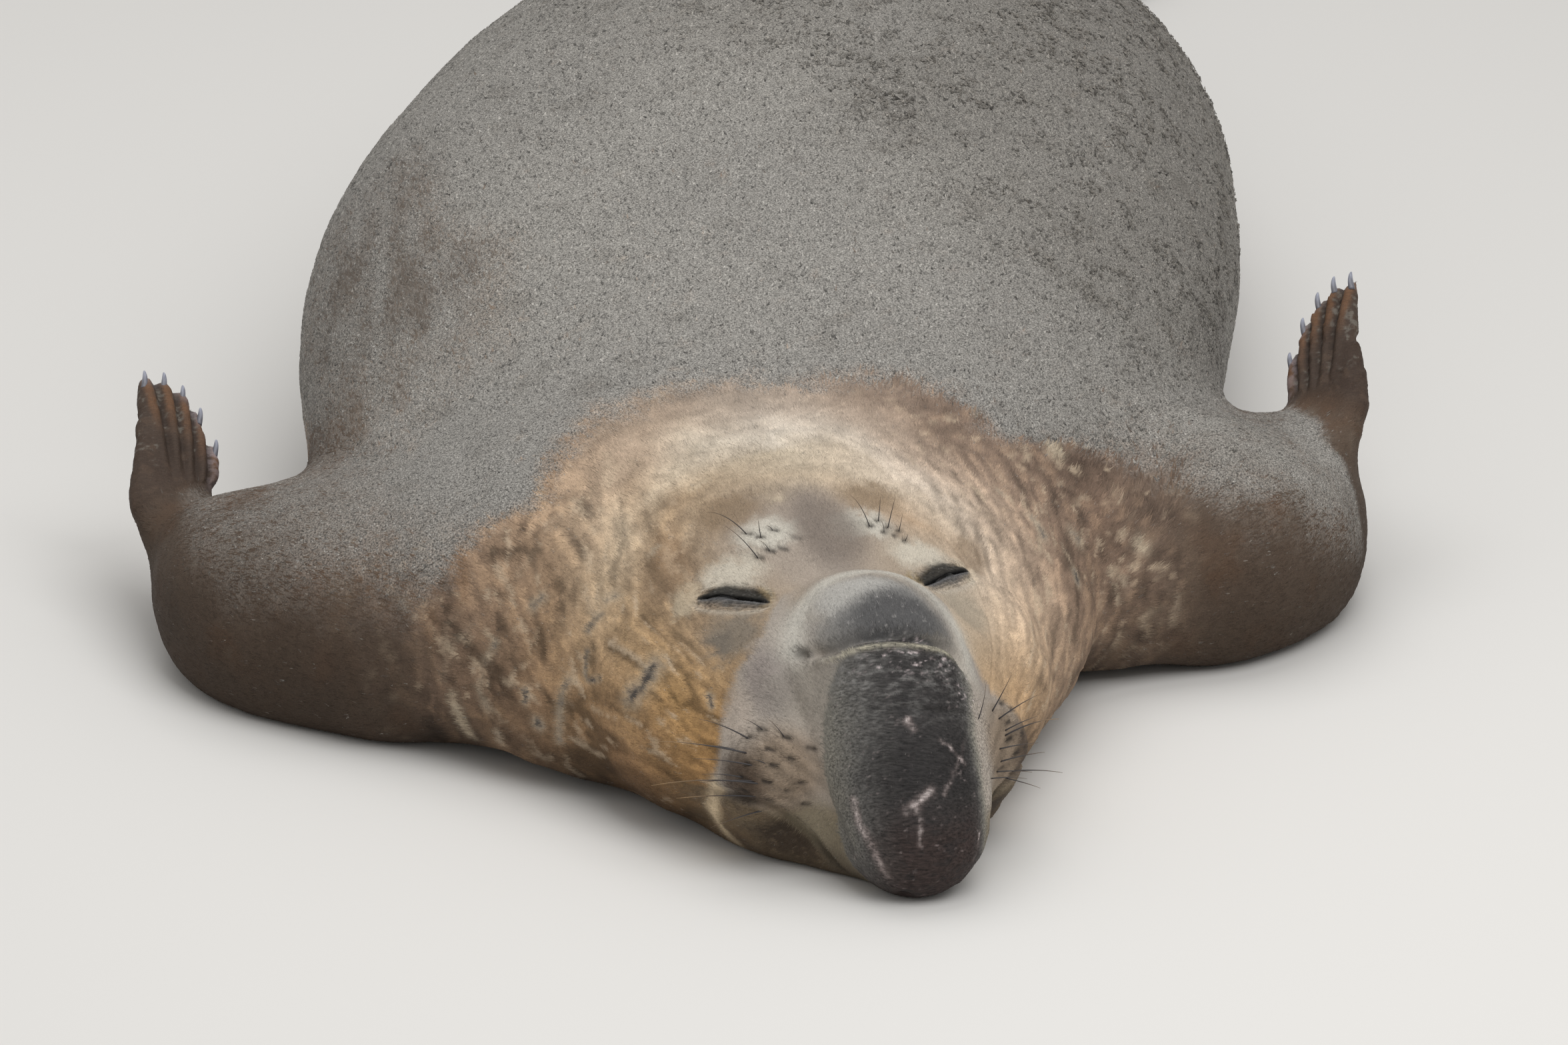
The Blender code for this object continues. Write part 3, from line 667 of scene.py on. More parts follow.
def relief(h, p, labels, hands):
    """Height of the skin's own forms over the smooth solids, in metres."""
    height = np.zeros(len(h))
    close = np.flatnonzero((h[:, 1] < 0.62) & (np.abs(h[:, 0]) < 0.40))
    near = h[close]
    for path, width, rise in both_sides(FACE_LINES):
        distance, place = along_path(near, smooth_path(path))
        ends = np.clip(step(place, 0, 0.08) * step(place, 1, 0.92), 0.3, 1)
        height[close] += rise * hill(distance, width) * ends
    for spot, radius, rise in both_sides(FACE_SPOTS):
        height[close] += rise * hill(np.linalg.norm(near - spot, axis=1), radius)
    # Rings of wrinkles behind the face
    head = is_in(labels, "head", "proboscis", "lower_jaw", "neck")
    ring = ring_place(h)[0]
    wander = 0.016 * noise(h, 0.12, 3) + 0.008 * noise(h, 0.05, 4)
    waves = np.sin((ring + wander) * 2 * math.pi / FOLD_SPACING)
    folds = waves * step(ring, 0.19, 0.27) * step(ring, 0.52, 0.40)
    height += WRINKLE_HEIGHT * folds * head * (0.6 + 0.4 * noise(h, 0.09, 5))
    # Soft folds of the nape, and blubber
    body = 1 - step(h[:, 1], 0.75, 0.45)
    height += NAPE_HEIGHT * noise(p, NAPE_SIZE, 6) * body
    height += BUMP_HEIGHT * rough_noise(p, BUMP_SIZE, 7) * body
    height += GRAIN_HEIGHT * rough_noise(p, GRAIN_SIZE, 8)
    height += CLUMP_HEIGHT * clumps(p)
    face = np.flatnonzero((h[:, 1] < 0.50) & (np.abs(h[:, 0]) < 0.24))
    height[face] -= FOLLICLE_DEPTH * follicle_marks(h[face])
    for hand in hands:
        mine = np.flatnonzero(is_in(labels, f"foreflipper_{hand.side}_hand"))
        ridge, valley, place = hand.digits_at(p[mine])
        fade = step(place, 0.10, 0.40)
        height[mine] += (DIGIT_HEIGHT * ridge - WEB_DEPTH * valley) * fade
    return height


class Hand:
    """The lines of a forehand's five digits, from where its claws are."""

    def __init__(self, side):
        self.side = side
        self.claws = np.array([centre(f"claw_{side}_{k}") for k in range(1, 6)])
        middle = centre(f"foreflipper_{side}_hand")
        run = self.claws[:4].mean(axis=0) - middle
        self.roots = middle - run * 0.9 + (self.claws - self.claws[1]) * 0.55
        self.along = unit(run)
        across = self.claws[3] - self.claws[0]
        self.across = unit(across - self.along * (across @ self.along))

    def digits_at(self, p):
        """1 over the digits, 1 between them, and the place from the wrist (0) to the claws (1)."""
        ridge, place = np.zeros(len(p)), np.zeros(len(p))
        offsets = []
        for root, claw in zip(self.roots, self.claws):
            run = claw - root
            share = np.clip((p - root) @ run / (run @ run), 0, 1.1)
            lateral = (p - root - share[:, None] * run) @ self.across
            offsets.append(lateral)
            nearer = hill(lateral, DIGIT_WIDTH) > ridge
            place[nearer] = share[nearer]
            ridge = np.maximum(ridge, hill(lateral, DIGIT_WIDTH))
        valley = np.zeros(len(p))
        for one, other in zip(offsets[:-1], offsets[1:]):
            valley = np.maximum(valley, hill((one + other) / 2, WEB_WIDTH) * (one * other < 0))
        return ridge, valley, place


def near_fine_places(h, eyes):
    """Which points of the head are close to an eye or in a whisker pad."""
    by_eye = np.min([np.linalg.norm(h - e.middle, axis=1) for e in eyes], axis=0) < FINE_BY_EYE
    side = mirrored_to_right(h)
    return by_eye | (np.linalg.norm(side - WHISKER_PAD, axis=1) < FINE_BY_PAD)


def mirrored_to_right(h):
    """The points of both sides of the head, as if they lay on the seal's right."""
    return np.column_stack([-np.abs(h[:, 0] - FACE_SHIFT), h[:, 1], h[:, 2]])


def sculpted_skin(head_frame, eyes, hands):
    """The skin as a surface, with the number of the node that each of its points stands for."""
    balls = [(head_frame.point(*eye.ball), eye.radius) for eye in eyes]
    soup_points, soup_faces, soup_labels = outer_faces(balls)
    skin = fused(soup_points, soup_faces, balls)
    tree = BVHTree.FromPolygons(soup_points.tolist(), soup_faces.tolist())

    labels = labels_at(skin.points, tree, soup_labels)
    by_kind = np.zeros((len(FLESH), 2))
    for starts, smoothing, depth in KINDS:
        by_kind[is_in(np.arange(len(FLESH)), *starts)] = smoothing, depth
    skin.smooth(SMOOTHING_ROUNDS, skin.spread(by_kind[labels], 12)[:, 0])

    # The head, the face and the places round eyes and whiskers get finer faces, and the hands too.
    refine_steps = (
        (lambda h: (h[:, 1] < 0.66) & (np.abs(h[:, 0]) < 0.46) & (h[:, 2] > 0.004), 6, True),
        (lambda h: (h[:, 1] < 0.46) & (np.abs(h[:, 0]) < 0.24) & (h[:, 2] > 0.004), 5, True),
        (lambda h: near_fine_places(h, eyes), 4, False),
    )
    for where, rounds, with_hands in refine_steps:
        chosen = where(head_frame.coordinates(skin.points))
        if with_hands:
            labels = labels_at(skin.points, tree, soup_labels)
            chosen |= is_in(labels, "foreflipper_left_hand", "foreflipper_right_hand")
        old = len(skin.points)
        skin.refine(chosen)
        new = np.zeros(len(skin.points))
        new[old:] = 1
        new[:old][chosen] = 1
        skin.smooth(rounds, 0.5 * skin.spread(new[:, None], 2)[:, 0])

    labels = labels_at(skin.points, tree, soup_labels)
    depth = skin.spread(by_kind[labels], 6)[:, 1]
    h = head_frame.coordinates(skin.points)
    height = relief(h, skin.points, labels, hands) - depth
    for eye in eyes:
        height += lid_shape(eye, h)
    height *= step(skin.points[:, 2], -0.001, 0.012)
    skin.points += skin.normals() * height[:, None]
    h = head_frame.coordinates(skin.points)
    for eye in eyes:
        h = seat_lids(eye, h)
    skin.points = head_frame.origin + h @ head_frame.axes
    skin.points[:, 2] = np.maximum(skin.points[:, 2], FLOOR_GAP)
    return skin, labels


# ---------------------------------------------------------------- markings
# The coat's colour round the face: at angles from the crown, rows of distance from the face's
# axis, red, green and blue
ROUND_THE_FACE = (
    (-2.20, milli((160, 330, 190, 78), (250, 330, 190, 78), (310, 150, 88, 46), (380, 150, 98, 64),
                  (500, 95, 66, 47))),
    (-1.75, milli((160, 330, 225, 130), (230, 380, 235, 105), (290, 340, 215, 115), (360, 190, 122, 76),
                  (450, 130, 86, 60), (600, 88, 61, 45))),
    (-1.15, milli((150, 330, 255, 180), (220, 330, 235, 150), (270, 500, 385, 265), (330, 340, 235, 152),
                  (450, 225, 155, 110), (600, 140, 100, 76))),
    (-0.60, milli((150, 340, 285, 235), (190, 300, 225, 155), (230, 400, 300, 200), (265, 560, 470, 355),
                  (300, 420, 320, 235), (360, 300, 220, 160))),
    (0.05, milli((130, 340, 290, 245), (170, 330, 278, 232), (210, 450, 365, 268), (240, 520, 440, 335),
                 (265, 640, 570, 480), (285, 500, 420, 345), (320, 340, 270, 215))),
    (0.80, milli((150, 370, 300, 230), (195, 380, 275, 185), (225, 520, 430, 335), (250, 580, 490, 400),
                 (285, 420, 325, 250), (340, 230, 164, 122), (450, 170, 118, 88))),
    (1.35, milli((160, 480, 400, 310), (240, 540, 430, 330), (300, 420, 315, 235), (370, 262, 182, 132),
                 (460, 172, 116, 84), (600, 125, 88, 66))),
    (2.00, milli((140, 480, 350, 225), (220, 460, 310, 180), (320, 320, 220, 145), (450, 200, 140, 100),
                 (600, 110, 80, 62))),
)
# Sizes of the mottles, across the rings round the face and along them
FLECK_SIZE, BAND_SIZE, STROKE_SIZE = (0.0100, 0.018), (0.024, 0.085), (0.0058, 0.024)
# Border between the golden cheek and the bare muzzle: height, and how far back it lies
CHEEK_BORDER = milli((90, 222), (139, 208), (178, 225), (216, 233), (249, 243), (279, 269), (300, 330))
LEFT_CHEEK_FORWARD = 0.050
# The lower edge of the upper lip: height by place to the side
LIP_EDGE = milli((-215, 98), (-200, 104), (-171, 100), (-136, 84), (-104, 54), (-74, 7))
LIP_BAND = milli((-204, 208, 106), (-203, 228, 75), (-189, 243, 46), (-166, 242, 14))
# The trunk's dark front: height, its right edge, where it gets darkest, and its left edge
NOSE_FRONT = milli((40, -78, -68, 88), (87, -80, -70, 89), (141, -82, -69, 89), (166, -82, -63, 89),
                   (192, -84, -57, 90), (226, -88, -50, 95), (259, -90, -48, 97), (290, -80, -40, 94))
HUMP_RIM = milli((-98, 215, 272), (-88, 240, 292), (-66, 262, 316), (-27, 283, 335), (20, 292, 340),
                 (55, 280, 334), (80, 262, 324), (103, 229, 298), (114, 199, 270), (108, 165, 240))
# Soft shapes, each a middle and a size: the hump of the nose, the pale and the dark place on it,
# and the place of its flecks
HUMP = (0.010, 0.200, 0.322), (0.100, 0.072, 0.070)
HUMP_LIGHT = (-0.022, 0.232, 0.330), (0.062, 0.036, 0.050)
HUMP_HOLLOW = np.add(HUMP[0], (0.018, -0.022, 0)), (0.088, 0.046, 0.060)
HUMP_CORE = np.add(HUMP[0], (0.008, -0.006, 0)), (0.080, 0.050, 0.060)
# The grey of the brow, the whisker pad, and the painted shade in the hollow over the lower jaw and on the
# jaw's underside
BROW_SHAPE = (0.015, 0.430, 0.345), (0.052, 0.115, 0.050)
PAD_SHAPE = (-0.142, 0.135, 0.145), (0.062, 0.066, 0.062)
JAW_HOLLOW = (-0.120, 0.155, 0.056), (0.060, 0.062, 0.038)
UNDER_JAW = (-0.120, 0.160, 0.010), (0.140, 0.140, 0.045)
# Of both sides: middle, size, colour, strength.  On the muzzle: beside the nose, and its pale edge
MUZZLE_PATCHES = (
    ((-0.134, 0.208, 0.238), (0.034, 0.060, 0.055), (0.245, 0.212, 0.196), 0.80),
    ((-0.176, 0.210, 0.190), (0.022, 0.040, 0.060), (0.460, 0.390, 0.330), 0.70),
)
# At the whisker pad's dark outer end, and under its inner end
PAD_PATCHES = (
    ((-0.182, 0.160, 0.132), (0.034, 0.046, 0.040), (0.072, 0.048, 0.034), 0.85),
    ((-0.098, 0.128, 0.075), (0.034, 0.044, 0.036), (0.250, 0.212, 0.150), 0.80),
)
# Grey at both sides of the hump, down to the fold: middle, size, colour, strength
HUMP_SHADES = (
    ((0.078, 0.166, 0.290), (0.036, 0.028, 0.028), (0.120, 0.116, 0.106), 0.75),
    ((-0.052, 0.188, 0.298), (0.044, 0.026, 0.026), (0.165, 0.160, 0.144), 0.60),
)
# Scars and streaks: a path, half width, strength
NOSE_SCARS = (
    (milli((-72, 56, 130), (-69, 42, 105), (-61, 25, 85), (-50, 16, 58), (-40, 14, 38)), 0.0042, 1.0),
    (milli((-44, 13, 50), (-58, 22, 44), (-71, 45, 36)), 0.0018, 0.9),
    (milli((-70, 60, 52), (-66, 32, 68), (-52, 18, 69)), 0.002, 0.8),
    (milli((-16, 14, 126), (-5, 14, 134), (8, 17, 140), (20, 20, 147)), 0.0042, 0.6),
    (milli((-2, 13, 130), (0, 6, 112), (-3, -2, 86)), 0.0026, 0.4),
    (milli((43, 57, 197), (58, 51, 185), (71, 42, 166)), 0.0018, 0.7),
    (milli((83, 69, 200), (66, 45, 176), (50, 30, 158), (36, 20, 143)), 0.0022, 0.6),
    (milli((80, 22, 90), (77, 10, 67), (66, 6, 45), (48, 2, 30)), 0.0016, 0.6),
    (milli((4, 75, 221), (10, 66, 212)), 0.0032, 0.9),
    (milli((-58, 24, 96), (-50, 18, 80), (-54, 20, 60)), 0.0014, 0.4),
)
NECK_SCARS = (
    (milli((-386, 566, 185), (-402, 572, 160), (-405, 571, 138), (-407, 569, 117), (-401, 559, 101)), 0.0042),
    (milli((-314, 472, 162), (-322, 475, 145), (-325, 475, 129), (-327, 474, 105), (-327, 475, 82)), 0.0038),
    (milli((-244, 332, 224), (-258, 329, 206), (-270, 337, 188)), 0.0105),
    (milli((-273, 472, 248), (-281, 472, 238), (-288, 473, 227)), 0.003),
    (milli((-252, 471, 270), (-263, 477, 265)), 0.004),
    (milli((-330, 542, 251), (-340, 546, 240)), 0.005),
    (milli((-417, 626, 214), (-432, 630, 192), (-436, 629, 182)), 0.0026),
    (milli((-404, 601, 203), (-427, 613, 175), (-438, 615, 148), (-443, 617, 123)), 0.003),
    (milli((-292, 463, 201), (-295, 456, 174), (-294, 444, 170), (-289, 416, 184)), 0.0026),
    (milli((-194, 255, 209), (-193, 246, 197)), 0.0028),
    (milli((-358, 514, 140), (-360, 514, 124)), 0.0036),
    (milli((-348, 498, 101), (-347, 497, 96)), 0.0045),
    (milli((-389, 551, 69), (-382, 556, 50)), 0.0036),
    (milli((-190, 493, 322), (-204, 488, 314)), 0.0024),
    (milli((404, 611, 236), (409, 607, 227)), 0.006),
    (milli((488, 716, 244), (492, 708, 236)), 0.0036),
    (milli((343, 574, 267), (343, 555, 256)), 0.005),
    (milli((333, 579, 279), (336, 577, 274)), 0.0045),
    (milli((299, 597, 309), (305, 594, 304)), 0.0036),
    (milli((383, 545, 203), (384, 540, 196)), 0.006),
)
PALE_STREAKS = (
    (milli((-435, 606, 101), (-426, 602, 74), (-409, 605, 43)), 0.01, 0.9),
    (milli((-290, 618, 319), (-310, 604, 304), (-336, 598, 279), (-351, 594, 262)), 0.0048, 0.6),
    (milli((452, 617, 173), (465, 608, 132)), 0.004, 0.6),
    (milli((472, 630, 167), (482, 613, 138)), 0.004, 0.6),
    (milli((544, 626, 142), (551, 620, 113), (545, 617, 87)), 0.005, 0.4),
    (milli((-35, 509, 363), (-25, 509, 363)), 0.007, 0.7),
    (milli((411, 731, 311), (416, 728, 305)), 0.013, 1.0),
    (milli((512, 650, 189), (510, 654, 196)), 0.01, 1.0),
    (milli((-125, 560, 371), (-106, 572, 374)), 0.006, 0.6),
    (milli((-18, 606, 388), (4, 610, 390), (20, 610, 390)), 0.008, 0.7),
)
# Soft patches of the face: middle, size, colour, strength, and whether the left side has one too
FACE_PATCHES = (
    ((-0.062, 0.442, 0.344), (0.046, 0.040, 0.040), (0.560, 0.530, 0.460), 0.90, True),
    ((-0.128, 0.392, 0.314), (0.056, 0.036, 0.030), (0.560, 0.515, 0.430), 0.85, True),
    ((-0.186, 0.392, 0.286), (0.020, 0.030, 0.026), (0.540, 0.460, 0.340), 0.60, True),
    ((-0.094, 0.507, 0.355), (0.050, 0.034, 0.030), (0.230, 0.165, 0.105), 0.75, True),
    ((-0.205, 0.444, 0.284), (0.028, 0.040, 0.034), (0.210, 0.145, 0.090), 0.60, True),
    ((-0.145, 0.300, 0.264), (0.050, 0.052, 0.044), (0.200, 0.172, 0.138), 0.85, False),
    ((0.150, 0.300, 0.264), (0.044, 0.050, 0.036), (0.300, 0.262, 0.205), 0.60, False),
    ((-0.172, 0.300, 0.256), (0.022, 0.026, 0.022), (0.110, 0.098, 0.084), 0.50, False),
    ((-0.100, 0.335, 0.302), (0.016, 0.020, 0.014), (0.230, 0.165, 0.070), 0.70, True),
)
# Where the sand that dusts the back begins: angle from the crown, and distance from the face's axis
SAND_EDGE = ((-1.9, 0.50), (-1.4, 0.450), (-0.96, 0.352), (-0.4, 0.322), (0.2, 0.308), (0.72, 0.375),
             (1.03, 0.425), (1.42, 0.600), (1.9, 0.74))
# How high on the neck and arms the bare, lower side reaches, from the right elbow to the left
BARE_BELOW = ((-0.850, 0.600), (-0.775, 0.400), (-0.748, 0.230), (-0.727, 0.198), (-0.676, 0.208),
              (-0.584, 0.215), (-0.440, 0.245), (-0.200, 0.235), (0.100, 0.100), (0.450, 0.250),
              (0.553, 0.268), (0.617, 0.215), (0.697, 0.200), (0.769, 0.145), (0.820, 0.080))
LEFT_WRIST = (0.713, -0.891)     # a point where the left hand's bare skin ends
LEFT_WRIST_SLOPE = -2.3          # of that end's line, towards the tail for each metre outwards
BROWN_PATCH = (-0.515, -0.940, 0.385)     # thinly dusted, on the right flank
BROWN_PATCH_SIZE = (0.25, 0.36, 0.19)


class Paint:
    """Colours of many points, laid on in layers."""

    def __init__(self, colours):
        self.colour = np.array(colours, float)

    def over(self, colour, mask):
        self.colour += (np.asarray(colour) - self.colour) * np.clip(mask, 0, 1)[:, None]

    def scale(self, factor):
        self.colour *= factor[:, None]


def ellipsoid(points, middle, radii):
    """1 at the middle, falling to 0 at about the given radii."""
    return step(np.linalg.norm((points - middle) / np.asarray(radii, float), axis=1), 1.25, 0.45)


def damp(p):
    """Where the sand on the back is damp, from 0 to 1: on its left."""
    place = p[:, 0] * 0.8 + p[:, 1] * 0.55 + 0.20 * noise(p, 0.22, 35)
    return step(place, -0.56, 0.10) * step(p[:, 2], 0.20, 0.34)


def clumps(p):
    """Where damp sand lies in clumps, from 0 to 1."""
    lumps = rough_noise(p, 0.024, 36) + 0.45 * noise(p, 0.14, 37)
    return damp(p) * step(lumps, -0.08, 0.50)


def memberships(skin, labels):
    """How far each point belongs to the arms, hands, rear and nose, blurred where they join."""
    groups = {
        "arms": is_in(labels, "foreflipper_left_arm", "foreflipper_right_arm"),
        "hands": is_in(labels, "foreflipper_left_hand", "foreflipper_right_hand"),
        "nose": is_in(labels, "proboscis"),
    }
    values = skin.spread(np.column_stack(list(groups.values())).astype(float), 20)
    shares = dict(zip(groups, values.T))
    broad = skin.spread(shares["arms"][:, None], 60)[:, 0]
    across = skin.points[:, 0]
    reach = np.abs(across) - np.where(across < 0, 0.455, 0.570) + 0.045 * rough_noise(skin.points, 0.050, 40)
    shares["brown arms"] = step(broad, 0.02, 0.30) * step(reach, -0.10, 0.10)
    tail_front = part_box("tail")[0].y
    soft = 0.10 * rough_noise(skin.points, 0.09, 38)
    shares["rear"] = step(skin.points[:, 1] + soft, tail_front - 0.30, tail_front + 0.12)
    return shares


def sand_cover(h, p, n, shares):
    """How much sand lies on each point, from 0 to 1."""
    ring, angle = ring_place(h)
    edge = by_table(angle, SAND_EDGE)
    wander = 0.022 * rough_noise(p, 0.11, 31) + 0.010 * rough_noise(p, 0.022, 32)
    cover = step(ring + wander, edge - 0.012, edge + 0.038)
    behind = step(p[:, 1], -1.20, -0.80)
    limb = shares["arms"]
    bare = by_table(p[:, 0], BARE_BELOW)
    bare = bare * (1 - behind * (1 - limb)) + 0.10 * behind * (1 - limb)
    cover *= step(p[:, 2] + 1.8 * wander + 0.05 * np.clip(n[:, 2], -1, 1), bare - 0.070, bare + 0.150)
    # On its right arm the sand lies more thinly.
    cover *= 1 - 0.30 * shares["brown arms"] * step(p[:, 0], -0.40, -0.60)
    patch = ellipsoid(p + 0.06 * noise(p, 0.12, 33)[:, None], BROWN_PATCH, BROWN_PATCH_SIZE)
    cover *= 1 - patch * (0.46 + 0.34 * noise(p, (0.02, 0.12, 0.05), 34))
    past_wrist = p[:, 1] - LEFT_WRIST[1] - LEFT_WRIST_SLOPE * (p[:, 0] - LEFT_WRIST[0])
    left_arm = step(p[:, 0], 0.66, 0.70) * step(p[:, 1], -0.60, -0.70)
    cover *= 1 - step(past_wrist + 3 * wander, -0.03, 0.03) * left_arm
    cover *= 1 - step(shares["hands"] + 0.25 * rough_noise(p, 0.020, 39), 0.10, 0.55)
    return np.clip(cover * (1 - 0.75 * shares["rear"]), 0, 1)


def round_the_face(ring, angle):
    """The coat's colour by distance from the face's axis, blended between the named angles."""
    angles = [a for a, stops in ROUND_THE_FACE]
    rows = np.array([
        [np.interp(ring, stops[:, 0], stops[:, k]) for k in (1, 2, 3)] for a, stops in ROUND_THE_FACE
    ])
    place = np.interp(angle, angles, range(len(angles)))
    i = np.minimum(place.astype(int), len(angles) - 2)
    share = place - i
    at = np.arange(len(ring))
    return (rows[i, :, at] * (1 - share)[:, None]) + rows[i + 1, :, at] * share[:, None]


def paint_mottles(paint, ring, angle, h):
    """Moulting flecks, light and dark, drawn out along the rings round the face."""
    arc = angle * np.maximum(ring, 0.15)
    bend = 0.010 * noise(h, 0.06, 18)

    def on_rings(size, layer):
        return np.stack([(ring + bend) / size[0], arc / size[1], np.full(len(h), layer)], axis=1)

    fine, broad = on_rings(FLECK_SIZE, 0.0), on_rings(BAND_SIZE, 1.0)
    flecks = noise(fine, 1.0, 12) + 0.55 * noise(fine * 1.9, 1.0, 13)
    bands = noise(broad, 1.0, 14)
    cheek = step(angle, -0.45, -1.0) + 0.4 * step(angle, 0.7, 1.2)
    zone = step(ring + 0.045 * cheek, 0.19, 0.27) * step(ring, 0.66, 0.50)
    crown = step(np.abs(angle), 0.95, 0.45)
    zone *= 1 - 0.70 * crown
    light = paint.colour * 1.55 + MOTTLE_LIFT
    mask = zone * step(flecks + 0.5 * bands, 0.15, 0.95) * 0.68
    paint.colour += (light - paint.colour) * mask[:, None]
    paint.scale(1 - zone * step(flecks + 0.5 * bands, -0.05, -0.95) * (0.36 + 0.16 * cheek))
    strokes = noise(on_rings(STROKE_SIZE, 2.0), 1.0, 16)
    paint.scale(1 + 0.12 * strokes * step(ring, 0.15, 0.20) * step(ring, 0.70, 0.55))
    grains = rough_noise(h, 0.0055, 26)
    paint.scale(1 + 0.20 * grains * step(ring, 0.13, 0.20) * step(ring, 0.80, 0.60))
    pale = noise(fine * (1.30, 1.20, 1), 1.0, 15) + 0.25 * grains
    paint.over(MOTTLE_PALE, zone * step(pale, 0.48, 0.90) * 0.62)
    rust = noise(broad * 0.8, 1.0, 19)
    paint.over(MOTTLE_RUST, zone * step(rust, 0.15, 0.8) * 0.35 * step(angle, 0.3, -0.8))


def paint_face(paint, h, trunk):
    """The patches of the face, its muzzle, whisker pads and mouth."""
    soft = rough_noise(h, 0.030, 41)
    ragged = h + (0.006 * soft + 0.008 * rough_noise(h, 0.011, 45))[:, None]
    for middle, size, colour, strength, paired in FACE_PATCHES:
        for sign in (1, -1) if paired else (1,):
            place = np.array(middle) * (sign, 1, 1)
            paint.over(colour, ellipsoid(ragged, place, size) * strength)
    # In the middle of the brow the coat is greyer.
    paint.over(BROW_GREY, ellipsoid(h, *BROW_SHAPE) * 0.80)
    border = by_table(h[:, 2], CHEEK_BORDER) - np.where(h[:, 0] > 0, LEFT_CHEEK_FORWARD, 0)
    muzzle = step(h[:, 1] + 0.010 * soft, border + 0.008, border - 0.014) * step(h[:, 2], 0.318, 0.296)
    muzzle *= step(h[:, 2], 0.082, 0.105)
    paint.over(MUZZLE, muzzle)
    chin = step(h[:, 2], 0.118, 0.085) * step(h[:, 1], 0.215, 0.170)
    paint.over(CHIN, chin)
    side = mirrored_to_right(h)
    for middle, size, colour, strength in MUZZLE_PATCHES:
        paint.over(colour, ellipsoid(side, middle, size) * muzzle * strength)
    pad = ellipsoid(side + 0.005 * soft[:, None], *PAD_SHAPE)
    paint.over(PAD_BROWN, pad * 0.9)
    for middle, size, colour, strength in PAD_PATCHES:
        paint.over(colour, ellipsoid(side, middle, size) * strength)
    runs = np.sin((side[:, 2] + 0.9 * side[:, 0]) * 2 * math.pi / 0.026 + 1.2 * soft)
    paint.scale(1 + 0.16 * runs * pad)
    paint_mouth(paint, h, side, trunk, soft)
    paint.over(FOLLICLE_DARK, follicle_marks(h) * 0.9)


def paint_mouth(paint, h, side, trunk, soft):
    """The lower jaw's painted shadows and flecks, the pale lip and the painted shade along the mouth's line
    between them.
    """
    edge = by_table(side[:, 0], LIP_EDGE)
    jaw = step(side[:, 2], edge + 0.004, edge - 0.009) * step(trunk, 0.75, 0.35)
    jaw *= step(side[:, 0], -0.040, -0.060) * step(side[:, 1], 0.320, 0.230)
    paint.over(JAW_BROWN, jaw * (0.80 + 0.15 * soft))
    paint.over(JAW_MOTTLE, jaw * step(rough_noise(h, 0.014, 44), -0.1, 0.7) * 0.6)
    # Painted shadow in the hollow over the lower jaw
    hollow = ellipsoid(side + 0.005 * soft[:, None], *JAW_HOLLOW)
    paint.over(JAW_HOLLOW_SHADOW, hollow * jaw * 0.9)
    lip = along_path(side, smooth_path(LIP_BAND))[0]
    paint.over(LIP_PALE, hill(lip, 0.0120) * step(side[:, 1], 0.15, 0.19) * 0.9)
    # Painted shade under the jaw, near the floor
    paint.over(JAW_UNDERSIDE_SHADE, ellipsoid(side, *UNDER_JAW) * 0.6)
    flecks = step(rough_noise(h, 0.0060, 43), 0.35, 0.75)
    paint.over(JAW_FLECK, flecks * jaw * 0.28)
    # Painted shade along the groove of the mouth
    corner = along_path(side, smooth_path(MOUTH))[0]
    paint.over(MOUTH_SHADE, hill(corner, 0.0055) * 0.9)


def paint_nose(paint, h, trunk):
    """The whole nose; trunk is 1 on the nose itself and 0 off it."""
    soft = rough_noise(h, 0.026, 52)
    below = step((0.157 - h[:, 1]) + (0.302 - h[:, 2]), -0.003, 0.006)   # in front of the fold
    front = paint_nose_front(paint, h, trunk, below, soft)
    paint_hump(paint, h, 1 - below, soft)
    paint_fold(paint, h, front, 1 - below)
    for path, width, strength in NOSE_SCARS:
        distance = along_path(h, smooth_path(path, 20))[0]
        ragged = distance + 0.0022 * noise(h, 0.006, 81) + 0.0012 * noise(h, 0.003, 82)
        broken = 0.65 + 0.35 * step(noise(h, 0.011, 85), -0.5, 0.3)
        paint.over(SCAR_PINK, hill(ragged, width * 1.35) * strength * 0.50 * broken)
        paint.over(SCAR_PALE, hill(ragged, width * 0.85) * strength * broken)


